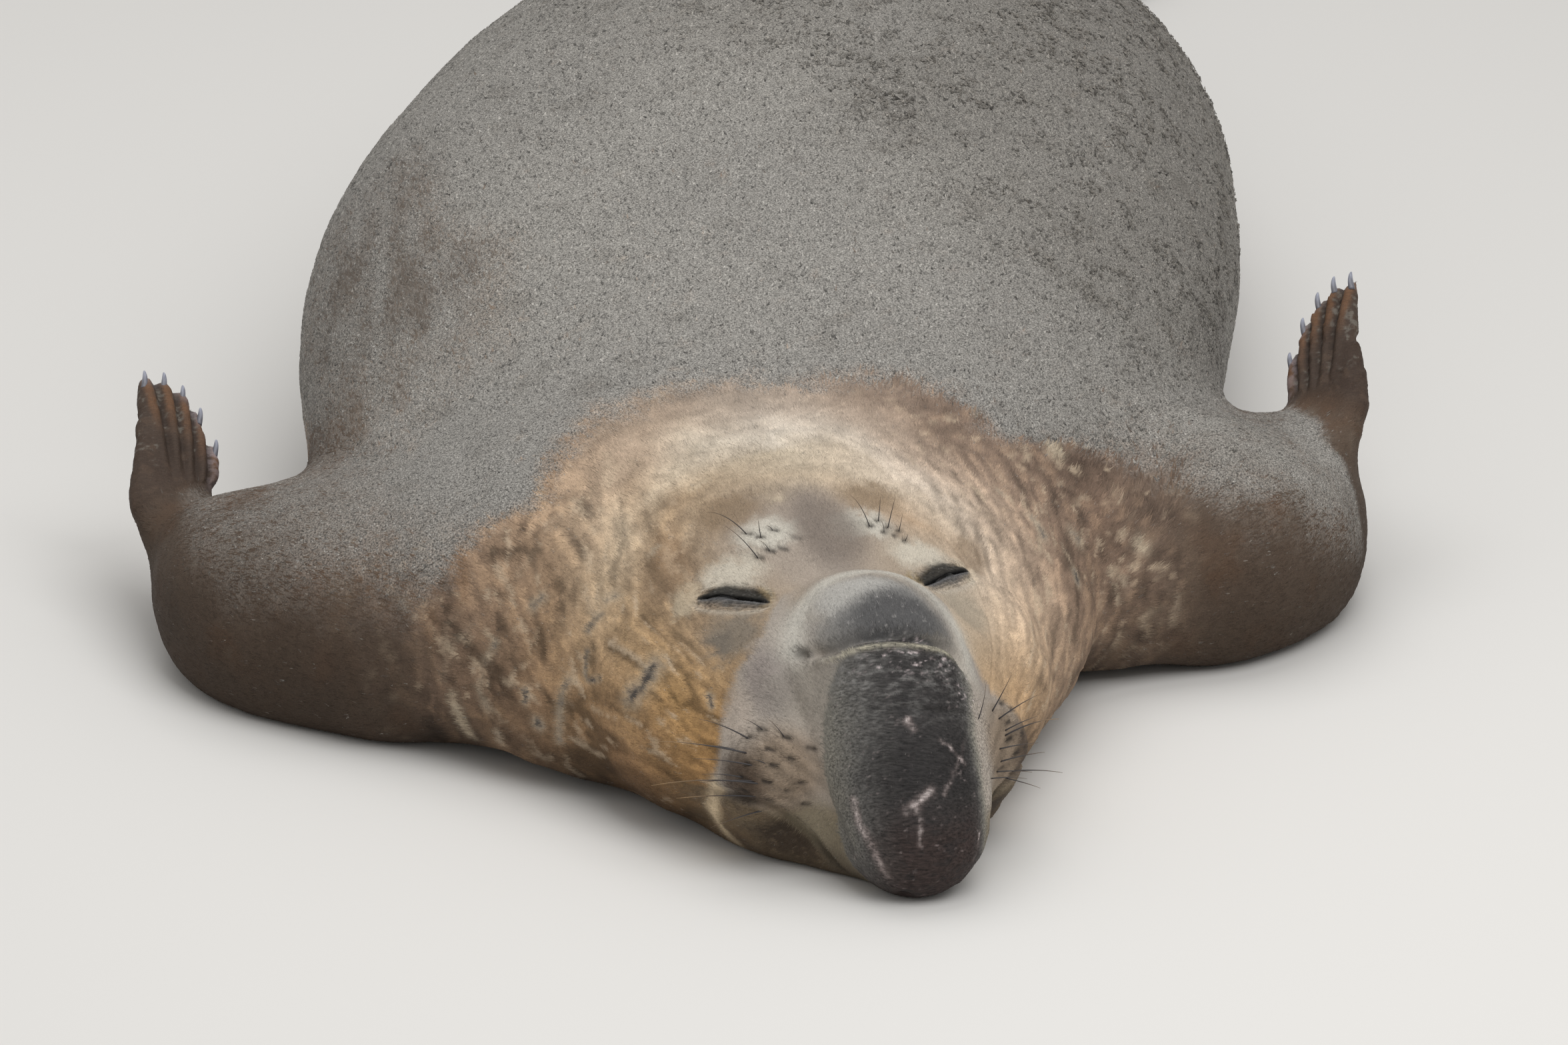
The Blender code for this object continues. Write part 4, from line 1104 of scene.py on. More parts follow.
def paint_nose_front(paint, h, trunk, below, soft):
    """The dark front with its grey sides; gives how far each point belongs to it."""
    right, darkest, left = (by_table(h[:, 2], NOSE_FRONT[:, (0, k)]) for k in (1, 2, 3))
    lateral = h[:, 0] + 0.005 * soft
    # At the top right the grey reaches farther over the side of the nose, and ends softly.
    fade = 0.034 * step(h[:, 2], 0.130, 0.220) * step(h[:, 0], 0.0, -0.05)
    front = below * step(h[:, 1], 0.185 + 1.6 * fade, 0.165 + fade)
    front *= step(h[:, 2] + 0.8 * (0.14 - h[:, 1]), -0.02, 0.0)
    front *= step(trunk + 9 * fade, 0.15, 0.55)
    across = step(lateral, right - 0.036 - fade, right + 0.002 - fade) * step(lateral, left + 0.014, left)
    paint.over(NOSE_OLIVE, front * across)
    for middle, size, colour, strength in HUMP_SHADES:
        paint.over(colour, ellipsoid(h + 0.004 * soft[:, None], middle, size) * strength)
    grey = front * step(lateral, right - 0.026 - 0.4 * fade, darkest + 0.014)
    grey *= step(lateral, left + 0.014, left - 0.012)
    dark = front * step(lateral, (right + darkest) / 2 - 0.008, darkest + 0.056)
    dark *= step(lateral, left + 0.006, left - 0.024)
    paint.over(NOSE_GREY, grey)
    paint.over(NOSE_DARK, dark)
    paint.over(NOSE_LOWER, dark * step(h[:, 2], 0.150, 0.080) * 0.8)
    # The short hairs shine grey in streaks across the nose, most of all at its top and right side.
    streaks = noise(h, (0.016, 0.0042, 0.0042), 54) + 0.6 * noise(h, (0.009, 0.0028, 0.0028), 55)
    shine = step(h[:, 2], 0.180, 0.268) * 0.78 + 0.24 * step(lateral, darkest + 0.050, darkest)
    paint.over(NOSE_SHINE, grey * step(streaks, -0.10, 0.75) * shine * 0.66)
    paint.over(NOSE_STREAK, dark * step(streaks, -0.10, -0.80) * 0.60)
    paint.over(NOSE_BLACK, dark * hill(h[:, 2] - 0.165, 0.050) * 0.65)
    return front


def paint_hump(paint, h, above, soft):
    """The hump over the fold: pale round its rim, dark in its middle."""
    rim = along_path(h, smooth_path(HUMP_RIM))[0]
    paint.over(HUMP_EDGE, hill(rim, 0.022) * 0.9)
    hump = ellipsoid(h + 0.004 * soft[:, None], *HUMP)
    paint.over(HUMP_GREY, hump * above)
    light = ellipsoid(h + 0.006 * soft[:, None], *HUMP_LIGHT)
    paint.over(HUMP_PALE, light * above * 0.8)
    shadow = ellipsoid(h + 0.005 * soft[:, None], *HUMP_HOLLOW)
    paint.over(HUMP_SHADOW, shadow * above * 0.88)


def paint_fold(paint, h, front, above):
    """The fold over the front: its pale lip, the flecks along it, the painted shadow along its line, and
    painted shade in its pit and in the crease below it.
    """
    lip, place = along_path(h, smooth_path(np.add(NOSE_FOLD, FOLD_LIP_SHIFT)))
    ends = step(place, 0.02, 0.2) * step(place, 0.99, 0.85)
    paint.over(FOLD_PALE, hill(lip + 0.0005, 0.0040) * ends * 0.9)
    flecks = step(rough_noise(h, (0.0064, 0.0040, 0.0040), 51), 0.36, 0.78)
    flecks *= step(lip, 0.004, 0.012) * step(lip, 0.050, 0.014)
    paint.over(FOLD_FLECK, flecks * front * step(place, 0.15, 0.4) * 0.85)
    pink = step(rough_noise(h, (0.009, 0.004, 0.004), 53), 0.66, 0.95)
    paint.over(NOSE_FLECK, pink * front * 0.40)
    pale = step(rough_noise(h, (0.006, 0.004, 0.004), 56), 0.50, 0.85)
    hump_middle = ellipsoid(h, *HUMP_CORE)
    paint.over(HUMP_FLECK, pale * hump_middle * above * 0.6)
    # Painted shade in the crease across the front, a painted shadow along the fold, and painted shade in the
    # pit at its end
    crease = along_path(h, smooth_path(NOSE_CREASE))[0]
    paint.over(CREASE_SHADE, hill(crease, 0.0030) * 0.6)
    fold = along_path(h, smooth_path(NOSE_FOLD))[0]
    paint.over(FOLD_SHADOW, hill(fold, 0.0044) * 0.85)
    pit = (h - FOLD_PIT) * (1, 1, 1.5)
    paint.over(PIT_SHADE, hill(np.linalg.norm(pit, axis=1), 0.011))


def paint_scars(paint, h):
    """Old bites of the neck: grey in the middle, pale at the rim."""
    for path, width in NECK_SCARS:
        ragged = along_path(h, smooth_path(path, 16))[0] + 0.5 * width * noise(h, 0.007, 83)
        paint.over(SCAR_RIM, hill(ragged, width * 1.8) * 0.60)
        paint.over(SCAR_GREY, hill(ragged, width * 0.85) * 0.85)
        paint.over(SCAR_DARK, hill(ragged, width * 0.60) * 0.90)
    for path, width, strength in PALE_STREAKS:
        ragged = along_path(h, smooth_path(path, 16))[0] + 0.5 * width * noise(h, 0.010, 84)
        paint.over(STREAK_PALE, hill(ragged, width * 0.9) * strength * 0.9)


def paint_lids(paint, h, eyes):
    """Dark upper lids, partly painted shade, blue-grey lower ones, a pale line round each eye, and a painted
    shadow along the slit.
    """
    for eye in eyes:
        x, y, near = eye.slit(h)
        wave = 0.0022 * noise(h, 0.008, 71)
        bow = np.sqrt(np.clip(1 - (x / 1.04) ** 2, 0, 1))
        arch, bag = 0.0255 * bow, 0.0175 * bow
        inside = (np.abs(x) < 1.04) & near
        round_eye = step(np.abs(x), 1.35, 0.9) * near
        paint.over(LID_RIM, hill(-y - bag - 0.0065, 0.0050) * round_eye * (y < 0) * 0.55)
        paint.over(LID_RIM, hill(y - arch - 0.0060, 0.0045) * round_eye * (y > 0) * 0.40)
        lower = inside * step(-y + wave, bag + 0.006, bag - 0.012) * (y < 0.002)
        paint.over(LID_GREY, lower * 0.92)
        # The upper lid's own dark skin, made darker still as painted shade of its crease
        upper = inside * step(y + wave, arch + 0.004, arch - 0.011) * (y > -0.001)
        paint.over(LID_DARK_AND_SHADE, upper * 0.95)
        fine = 0.5 + 0.5 * np.sin(y * 2 * math.pi / 0.0046 + 3 * x + 2.0 * noise(h, 0.012, 72))
        grains = step(rough_noise(h, 0.0036, 73), 0.25, 0.80)
        paint.over(LID_GRAIN, upper * grains * step(y, 0.003, 0.007) * 0.6)
        paint.over(LID_LINE, lower * fine * 0.5)
        paint.over(LID_SPECK, lower * grains * 0.45)
        rim = hill(y + 0.0034, 0.0018) * step(np.abs(x), 1.00, 0.80) * near
        paint.over(LID_EDGE, rim * 0.55)
        # Painted shadow along the slit between the lids
        paint.over(SLIT_SHADOW, hill(y - 0.0004, 0.0040) * step(np.abs(x), 1.06, 0.80) * near)


def markings(h, p, n, labels, shares, eyes, hands):
    """At each point: the colour of skin and coat, that of sand, and how much sand lies there."""
    ring, angle = ring_place(h)
    soft = rough_noise(p, 0.10, 11)
    forward = step(p[:, 1], -0.9, -1.4)
    paint = Paint(np.tile(np.array(COAT_BROWN), (len(h), 1)))
    paint.over(NECK_BROWN, forward)
    near_face = step(ring, 0.75, 0.50) * (1 - is_in(labels, "trunk", "hips", "tail", "hind_flipper"))
    wavy = ring + 0.012 * noise(h, 0.09, 21) + 0.006 * noise(h, 0.03, 22)
    paint.colour += (round_the_face(wavy, angle) - paint.colour) * near_face[:, None]
    paint.scale(1 + 0.14 * soft)
    paint_mottles(paint, ring, angle, h)
    flank = ellipsoid(p + 0.06 * noise(p, 0.12, 33)[:, None], BROWN_PATCH, BROWN_PATCH_SIZE)
    paint.over(FLANK_BROWN, flank)
    # Darker towards the floor: partly the wet, darker fur low down, and partly painted shade where the body
    # nears the floor.
    paint.scale(1 - 0.50 * step(p[:, 2] + 0.03 * soft, 0.140, 0.015))
    arms = shares["brown arms"]
    paint.over(ARM_BROWN, arms * (0.86 + 0.1 * soft))
    rust = step(rough_noise(p, 0.055, 24) + 0.3 * soft, 0.10, 0.90)
    paint.over(RUST, arms * rust * 0.45)
    worn = step(rough_noise(p, (0.012, 0.03, 0.02), 25), 0.25, 0.95)
    paint.over(WORN_BROWN, arms * worn * 0.50)
    # Darker under the arms, more so on the seal's right: partly wet, darker fur and partly painted shade.
    underside = step(p[:, 2] + 0.04 * soft, 0.26, 0.06)
    paint.over(DARK_FUR_AND_SHADE, arms * underside * (0.66 + 0.16 * (p[:, 0] < 0)))
    near = np.flatnonzero((ring < 0.62) & (h[:, 1] < 0.80))
    face = Paint(paint.colour[near])
    at = h[near]
    paint_scars(face, at)
    front = np.flatnonzero((at[:, 1] < 0.62) & (np.abs(at[:, 0]) < 0.27))
    close = Paint(face.colour[front])
    trunk = shares["nose"][near][front]
    paint_face(close, at[front], trunk)
    paint_nose(close, at[front], trunk)
    paint_lids(close, at[front], eyes)
    face.colour[front] = close.colour
    paint.colour[near] = face.colour
    paint_limbs(paint, p, shares, soft, hands)
    # Sand, damp and dark in clumps, pale where it is dry and thin
    cover = sand_cover(h, p, n, shares)
    sand = Paint(np.tile(np.array(SAND), (len(h), 1)))
    sand.over(SAND_LIGHT, step(noise(p, 0.30, 17), 0.0, 0.8) * 0.45)
    sand.over(SAND_DARK, damp(p) * 0.42)
    sand.over(SAND_DARK, step(rough_noise(p, 0.05, 20), 0.35, 0.9) * 0.30)
    return np.clip(paint.colour, 0.004, 0.85), sand.colour, cover


def paint_limbs(paint, p, shares, soft, hands):
    """The bare brown of hands and hind flippers, and the paler webs and edges of the hands, with painted
    shade between the digits and tan painted highlights on them.
    """
    paint.over(HAND_BROWN, np.maximum(shares["hands"], shares["rear"]) * (0.88 + 0.12 * soft))
    for hand in hands:
        mine = np.flatnonzero((shares["hands"] > 0.3) & (p[:, 0] * SIDES[hand.side] > 0))
        at = p[mine]
        skin = Paint(paint.colour[mine])
        ridge, valley, place = hand.digits_at(at)
        blotch = rough_noise(at, 0.020, 61)
        # Painted shade in the grooves between the digits
        skin.over(WEB_SHADE, valley * step(place, 0.2, 0.5) * 0.7)
        # Tan on the digits' ridges towards the claws: partly their own warm colour, partly painted highlight
        tan_and_highlight = step(place, 0.45, 0.85) * (0.75 + 0.4 * blotch)
        skin.over(DIGIT_TAN_AND_HIGHLIGHT, tan_and_highlight * step(ridge, 0.15, 0.75) * 0.75)
        skin.over(HAND_BLOTCH, step(blotch, 0.1, 0.8) * 0.5)
        margin, run = along_path(at, np.vstack([hand.claws[2:], hand.roots[4] + hand.across * 0.012]))
        edge = hill(margin, 0.0135) * step(run, 0.02, 0.12) * step(run, 1.0, 0.7)
        skin.over(HAND_EDGE, edge * step(rough_noise(at, 0.009, 62), -0.5, 0.2) * 0.85)
        tips = np.min([np.linalg.norm(at - claw, axis=1) for claw in hand.claws], axis=0)
        skin.over(HAND_TIPS, hill(tips, 0.014) * 0.55)
        grains = step(rough_noise(at, 0.0065, 63) + 0.6 * noise(at, 0.045, 64), 0.30, 0.85)
        skin.over(HAND_GRAIN, grains * step(1 - ridge, 0.2, 0.7) * step(place, 0.15, 0.4) * 0.55)
        paint.colour[mine] = skin.colour


# ---------------------------------------------------------------- coat
TUFTS = 345000
SEED = 7
TUFTS_IN_A_PIECE = 45000
UV_PATCH = 0.003
TUFT_SINK = 0.0003        # of a tuft's root in the skin
TUFT_SWAY, SIZE_SWAY = 0.20, 0.18     # how much the tufts' ways and sizes differ by chance
LUMP_RISE, LUMP_DARK = 0.0024, 0.72   # of the tufts in clumps of damp sand
TUFT_ROUNDNESS = 0.40     # how far a tuft's sides turn from the skin's own normal, for soft light
# The hair lies away from these points of the head: that of the nose, and that of the face
NOSE_TIP = (0.005, -0.030, -0.060)
FACE_PARTING = (0.005, 0.050, 0.160)
BODY_LIE = (0.0, 1.0, -0.15)             # the way it lies on the body
ARM_LIE = (0.25, -0.02, -0.05)           # and how far off the arm's own line it lies on the left one
FACE_MAP = (0.0, 0.33, 0.10), (0.0, -0.6, 0.8)      # of the face's map: its middle and its pole
# Of each kind of flesh: a tuft's length, width and the rise of its tip; and how dense they are
COATS = {
    "proboscis": (0.0038, 0.0013, 0.0002, 3.5),
    "lower_jaw": (0.0062, 0.0016, 0.0004, 5.0),
    "head": (0.0072, 0.0016, 0.0003, 6.4),
    "neck": (0.0098, 0.0023, 0.0005, 3.4),
    "chest": (0.0150, 0.0036, 0.0010, 1.5),
    "trunk": (0.0185, 0.0045, 0.0013, 1.0),
    "hips": (0.0175, 0.0043, 0.0013, 1.0),
    "tail": (0.0120, 0.0032, 0.0008, 1.6),
    "foreflipper_left_arm": (0.0088, 0.0026, 0.0004, 2.4),
    "foreflipper_right_arm": (0.0088, 0.0026, 0.0004, 2.4),
    "foreflipper_left_hand": (0.0034, 0.0013, 0.0001, 4.5),
    "foreflipper_right_hand": (0.0034, 0.0013, 0.0001, 4.5),
    "hind_flipper_left": (0.0085, 0.0028, 0.0003, 1.9),
    "hind_flipper_right": (0.0085, 0.0028, 0.0003, 1.9),
}
COAT_SLOTS = {
    "face": "head", "neck": "neck", "chest": "body", "trunk": "body", "hips": "hips",
    "rear": "feet", "arm": "arms", "hand": "hands",
}
COAT_PIECES = {
    "face": ("proboscis", "head", "lower_jaw"),
    "neck": ("neck",),
    "chest": ("chest",),
    "trunk": ("trunk",),
    "hips": ("hips",),
    "rear": ("tail", "hind_flipper_left", "hind_flipper_right"),
    "arm_left": ("foreflipper_left_arm",),
    "arm_right": ("foreflipper_right_arm",),
    "hand_left": ("foreflipper_left_hand",),
    "hand_right": ("foreflipper_right_hand",),
}


def lie_of_coat(skin, labels, head_frame, eyes):
    """Of each point: along which way the hair lies, how long and how dense it is, as shares."""
    h = head_frame.coordinates(skin.points)
    lie = np.tile(np.array(BODY_LIE), (len(h), 1))
    length, density = np.ones(len(h)), np.ones(len(h))
    head = is_in(labels, "head", "lower_jaw", "neck")
    from_nose = h - np.array(FACE_PARTING)
    lie[head] = unit(from_nose[head]) @ head_frame.axes
    nose = is_in(labels, "proboscis")
    lie[nose] = unit(h[nose] - NOSE_TIP) @ head_frame.axes
    for side, sign in SIDES.items():
        arm, hand = f"foreflipper_{side}_arm", f"foreflipper_{side}_hand"
        run = centre(hand) - centre(arm)
        lie[is_in(labels, arm)] = run + np.array(ARM_LIE) * (sign, 1, 1)
        claws = np.mean([centre(f"claw_{side}_{k}") for k in range(1, 6)], axis=0)
        lie[is_in(labels, hand)] = claws - centre(hand)
    lie = skin.spread(unit(lie), 14)
    for eye in eyes:
        # On the lids the hair is shortest and lies along them; none grows in the slit.
        x, y, near = eye.slit(h)
        lids = near * step(np.abs(x), 1.5, 1.1)
        turn = (lids * step(np.abs(y), 0.026, 0.010))[:, None]
        lie = lie * (1 - turn) + turn * (np.sign(x + 0.4)[:, None] * eye.along) @ head_frame.axes
        length *= 1 - 0.55 * lids * step(np.abs(y), 0.034, 0.012)
        density *= 1 - lids * step(np.abs(y), 0.0085, 0.0060) * step(np.abs(x), 1.30, 1.15)
    normals = skin.normals()
    lie -= np.sum(lie * normals, axis=1)[:, None] * normals
    return unit(lie), length, density, normals


def disc_unwrap(points, middle, pole):
    """Round a point inside the flesh: straight out at the pole is the middle of the disc."""
    pole = unit(np.asarray(pole, float))
    side = unit(np.cross(pole, (0.3, 0.1, 1.0)))
    ways = unit(points - middle)
    tilt = np.arccos(np.clip(ways @ pole, -1, 1)) / math.pi
    turn = np.arctan2(ways @ np.cross(pole, side), ways @ side)
    return 0.5 + 0.49 * tilt[:, None] * np.column_stack([np.cos(turn), np.sin(turn)])


def tube_unwrap(points):
    """Round the line of the back: along the body, and about it from a seam under the belly."""
    low, high = points.min(axis=0), points.max(axis=0)
    middle = (low + high) / 2
    turn = np.arctan2(points[:, 0] - middle[0], points[:, 2] - middle[2]) / (2 * math.pi)
    along = (points[:, 1] - low[1]) / (high[1] - low[1])
    return 0.01 + 0.98 * np.column_stack([along, turn + 0.5])


def unwrapped(piece, roots, head_frame):
    """Where each tuft of a coat piece lies on that piece's map."""
    if piece == "face":
        return disc_unwrap(roots, head_frame.point(*FACE_MAP[0]), head_frame.axes.T @ FACE_MAP[1])
    if piece in ("neck", "chest", "trunk", "hips", "rear"):
        return tube_unwrap(roots)
    return disc_unwrap(roots, roots.mean(axis=0), (np.sign(roots[:, 0].mean()), -0.3, 0.7))


def scattered(weight, rng):
    """The face that each tuft grows on, and the tuft's place on it as shares of its corners."""
    chosen = rng.choice(len(weight), TUFTS, p=weight / weight.sum())
    a, b = rng.random((2, TUFTS))
    flip = a + b > 1
    a[flip], b[flip] = 1 - a[flip], 1 - b[flip]
    return chosen, np.column_stack([1 - a - b, a, b])


def tuft_meshes(skin, labels, colours, sand, kinds_of_skin, head_frame, eyes, rng):
    """The coat, as one mesh of thin closed tufts for each piece, with its colours."""
    lie, length_share, density, normals = lie_of_coat(skin, labels, head_frame, eyes)
    faces = skin.faces
    area = np.linalg.norm(skin.face_normals(), axis=1) / 2
    low = skin.points[faces][:, :, 2].mean(axis=1)
    kinds = np.array([COATS[name] for name in FLESH])
    face_label = labels[faces[:, 0]]
    weight = area * kinds[face_label, 3] * step(low, 0.001, 0.008) * density[faces].min(axis=1)
    chosen, shares = scattered(weight, rng)

    def at(values):
        return np.einsum("nk,nkj->nj", shares, values[faces[chosen]])

    root, out, along = at(skin.points), unit(at(normals)), at(lie)
    tint, kind = at(colours), at(kinds_of_skin)
    # The sand ends raggedly, and single grains of it lie on the coat beyond.
    dust = at(skin.spread(kinds_of_skin[:, :1], 30))[:, 0]
    sandy = step(kind[:, 0] + 0.35 * noise(root, 0.006, 93) + rng.normal(0, 0.10, TUFTS), 0.20, 0.80)
    sandy = np.maximum(sandy, 0.9 * step(noise(root, 0.0055, 94), 0.52, 0.78) * step(dust, 0.01, 0.35))
    kind = np.column_stack([sandy, kind[:, 1:]])
    tint += (at(sand) - tint) * sandy[:, None]
    label = face_label[chosen]
    side = unit(np.cross(along, out))
    along = unit(along + side * (rng.normal(0, TUFT_SWAY, TUFTS) * (1 + 1.6 * sandy))[:, None])
    side = unit(np.cross(along, out))
    clump = 1 + 0.35 * noise(root, 0.030, 91)
    length, width, rise = (kinds[label, k] * rng.normal(1, SIZE_SWAY, TUFTS).clip(0.5, 1.6) for k in range(3))
    length *= at(length_share[:, None])[:, 0] * (1 - 0.50 * sandy)
    rise = rise * clump.clip(0.3, 1.5) * (1 - 0.3 * sandy)
    height = np.maximum(width * 0.17, 0.00025)
    # Damp sand is darker, and stands up in lumps.
    lumps = sandy * clumps(root)
    tint += (np.array(SAND_DARK) - tint) * (LUMP_DARK * lumps)[:, None]
    root = root + out * (LUMP_RISE * lumps * rng.random(TUFTS))[:, None]
    tip = root + along * length[:, None] + out * rise[:, None]
    tip[:, 2] = np.maximum(tip[:, 2], 0.0006)
    corners = np.stack([
        root - side * width[:, None] / 2 - out * TUFT_SINK,
        root + side * width[:, None] / 2 - out * TUFT_SINK,
        root + out * height[:, None] + along * length[:, None] * 0.25,
        tip,
    ], axis=1)
    bend = side * TUFT_ROUNDNESS
    bends = np.stack([unit(out - bend), unit(out + bend), out, unit(out + along * 0.15)], axis=1)
    grain = 1 + rng.normal(0, 1, TUFTS) * (0.105 + 0.135 * sandy)
    specks = 1 - 0.55 * sandy * step(noise(root, 0.0045, 92), 0.30, 0.75)
    tint = np.clip(tint * (grain.clip(0.5, 1.6) * specks)[:, None], 0.003, 0.9)
    for piece, names in COAT_PIECES.items():
        of_piece = np.flatnonzero(np.isin(label, [LABEL[name] for name in names]))
        # A long piece is cut into lengths of equal count from front to back.
        order = of_piece[np.argsort(root[of_piece, 1], kind="stable")]
        lengths = np.array_split(order, math.ceil(len(order) / TUFTS_IN_A_PIECE))
        for number, mine in enumerate(lengths, 1):
            uv = unwrapped(piece, root[mine], head_frame)
            mesh = tuft_mesh(corners[mine], bends[mine], tint[mine], kind[mine], uv)
            yield f"coat_{piece}_{number}", mesh


# Of a tuft's four corners: two at its root, one on its back, and its tip
TUFT_FACES = np.array([(0, 2, 3), (2, 1, 3), (0, 3, 1), (0, 1, 2)])
# Painted shade at a tuft's two root corners, and a painted highlight at its tip
TUFT_PAINTED_SHADING = np.array((0.93, 0.93, 1.0, 1.06))


def tuft_mesh(corners, bends, tint, kind, uv):
    """The tufts of one piece, with their colours and painted shading, soft normals and map."""
    count = len(corners)
    faces = (TUFT_FACES[None] + 4 * np.arange(count)[:, None, None]).reshape(-1, 3)
    mesh = Surface(corners.reshape(-1, 3), faces).mesh("coat")
    shaded = tint[:, None] * TUFT_PAINTED_SHADING[None, :, None]
    tinted(mesh, shaded.reshape(-1, 3), np.repeat(kind, 4, axis=0))
    soft = mesh.attributes.new("custom_normal", "FLOAT_VECTOR", "POINT")
    soft.data.foreach_set("vector", bends.astype(np.float32).ravel())
    patch = np.array([(-0.5, -0.5), (0.5, -0.5), (0.0, 0.0), (0.0, 0.5)]) * UV_PATCH
    corner_uv = (uv[:, None] + patch[None]).reshape(-1, 2)
    layer = mesh.uv_layers.new(name="OFBake")
    layer.data.foreach_set("uv", corner_uv[faces.ravel()].astype(np.float32).ravel())
    return mesh


def tinted(mesh, colours, kind=None):
    """Gives a mesh its colours, and its kind: how much sand and how much bare, leathery skin."""
    for name, values in (("tint", colours), ("kind", kind)):
        if values is not None:
            layer = mesh.color_attributes.new(name, "FLOAT_COLOR", "POINT")
            rgba = np.ones((len(values), 4), np.float32)
            rgba[:, :values.shape[1]] = values
            layer.data.foreach_set("color", rgba.ravel())
    return mesh


# ---------------------------------------------------------------- whiskers, claws and eyes
# Of each hair: its root on the head, how far its tip lies to the picture's right and up it, its
# sag, and its radius
WHISKERS = milli((-168, 171, 181, -63, 23, 2, 1.1), (-174, 157, 167, -115, 11, 3, 1.2),
    (-170, 144, 155, -76, 6, 2, 1.1), (-185, 176, 166, -38, 4, 1, 1), (-172, 137, 136, -69, -4, 3, 1.1),
    (-157, 130, 133, -143, -6, 7, 1.3), (-168, 137, 106, -103, -6, 5, 1.2),
    (-156, 135, 97, -69, -25, 2, 1.1), (-127, 150, 184, -23, 25, 1, 0.7),
    (-150, 167, 191, -27, 15, 1, 0.7), (-182, 151, 137, -52, 2, 3, 1), (-151, 132, 157, -34, 9, 2, 0.8),
    (108, 100, 199, 10, 46, 1, 0.8), (135, 144, 189, 25, 46, 2, 1), (142, 141, 180, 50, 29, 2, 1.1),
    (149, 135, 167, 42, 17, 2, 1), (148, 131, 162, 69, 19, 6, 1.2), (135, 119, 151, 50, 6, 2, 1),
    (139, 116, 134, 57, 10, 3, 1.1), (133, 113, 123, 46, -2, 2, 1), (120, 83, 127, 46, -2, 2, 0.9),
    (150, 150, 125, 70, -4, 5, 1.1), (146, 140, 104, 52, -16, 3, 1),
    # over the eyes
    (-84, 457, 341, -52, 28, 6, 0.8), (-52, 448, 345, -10, 8, 0, 0.6), (-86, 401, 328, -43, 41, 3, 0.8),
    (-69, 406, 333, -15, 15, 1, 0.6), (-72, 439, 339, -4, 26, 1, 0.7), (72, 437, 340, -24, 40, 3, 0.7),
    (89, 457, 340, 3, 33, 1, 0.7), (97, 442, 335, 10, 41, 2, 0.8), (111, 439, 330, 5, 24, 1, 0.6),
    (113, 419, 324, 4, 10, 0, 0.6), (88, 427, 335, -4, 16, 1, 0.6)
)
WHISKER_SIDES, WHISKER_RINGS = 6, 12
THICK_WHISKER = 0.0012     # hairs of this radius and more have pale tips
CLAW_RINGS, CLAW_SIDES = 22, 16
EYE_RINGS, EYE_SIDES = 32, 48


def tube(path, radii, sides):
    """The points and faces of a closed, tapering tube along a path, and each point's place on it."""
    runs = unit(np.gradient(path, axis=0))
    first = unit(np.cross(runs, (0.31, 0.12, 0.94)))
    second = np.cross(runs, first)
    turns = np.arange(sides) * 2 * math.pi / sides
    round_it = first[:, None] * np.cos(turns)[None, :, None] + second[:, None] * np.sin(turns)[None, :, None]
    points = (path[:, None] + round_it * np.asarray(radii)[:, None, None]).reshape(-1, 3)
    points = np.vstack([points, path[0], path[-1]])
    count = len(path)
    faces = []
    for ring in range(count - 1):
        for k in range(sides):
            a, b = ring * sides + k, ring * sides + (k + 1) % sides
            faces += [(a, b, b + sides), (a, b + sides, a + sides)]
    start, end = count * sides, count * sides + 1
    for k in range(sides):
        after = (k + 1) % sides
        faces += [(start, after, k), (end, (count - 1) * sides + k, (count - 1) * sides + after)]
    place = np.append(np.repeat(np.linspace(0, 1, count), sides), (0, 1))
    return points, np.array(faces), place


def joined(parts):
    """One surface of many, each given as points and faces."""
    offsets = np.cumsum([0] + [len(points) for points, faces in parts[:-1]])
    faces = np.vstack([faces + offset for (points, faces), offset in zip(parts, offsets)])
    return Surface(np.vstack([points for points, faces in parts]), faces)


def whiskers(skin, head_frame):
    """All the whiskers as one mesh, each rooted in the skin: dark at its base and pale at its tip."""
    tree = skin.tree()
    parts, tints = [], []
    for x, y, z, right, up, sag, radius in WHISKERS:
        found, normal = tree.find_nearest(Vector(head_frame.point(x, y, z)))[:2]
        start = np.array(found) - 0.002 * np.array(normal)
        back = 0.10 * abs(right) + up * math.sin(CAMERA_ELEVATION)
        reach = np.array((right, back, up * math.cos(CAMERA_ELEVATION)))
        t = np.linspace(0, 1, WHISKER_RINGS)[:, None]
        bow = t * (1 - t) * 4
        path = start + t * reach + 0.010 * np.array(normal) * t * (1 - t) + bow * np.array((0, 0, sag))
        points, faces, place = tube(path, radius * (1 - 0.78 * t[:, 0]), WHISKER_SIDES)
        parts.append((points, faces))
        share = step(place, 0.35, 1.0)[:, None] * (1.0 if radius >= THICK_WHISKER else 0.35)
        tints.append(np.array(WHISKER_BASE) * (1 - share) + np.array(WHISKER_TIP) * share)
    return tinted(joined(parts).mesh("whiskers"), np.vstack(tints))


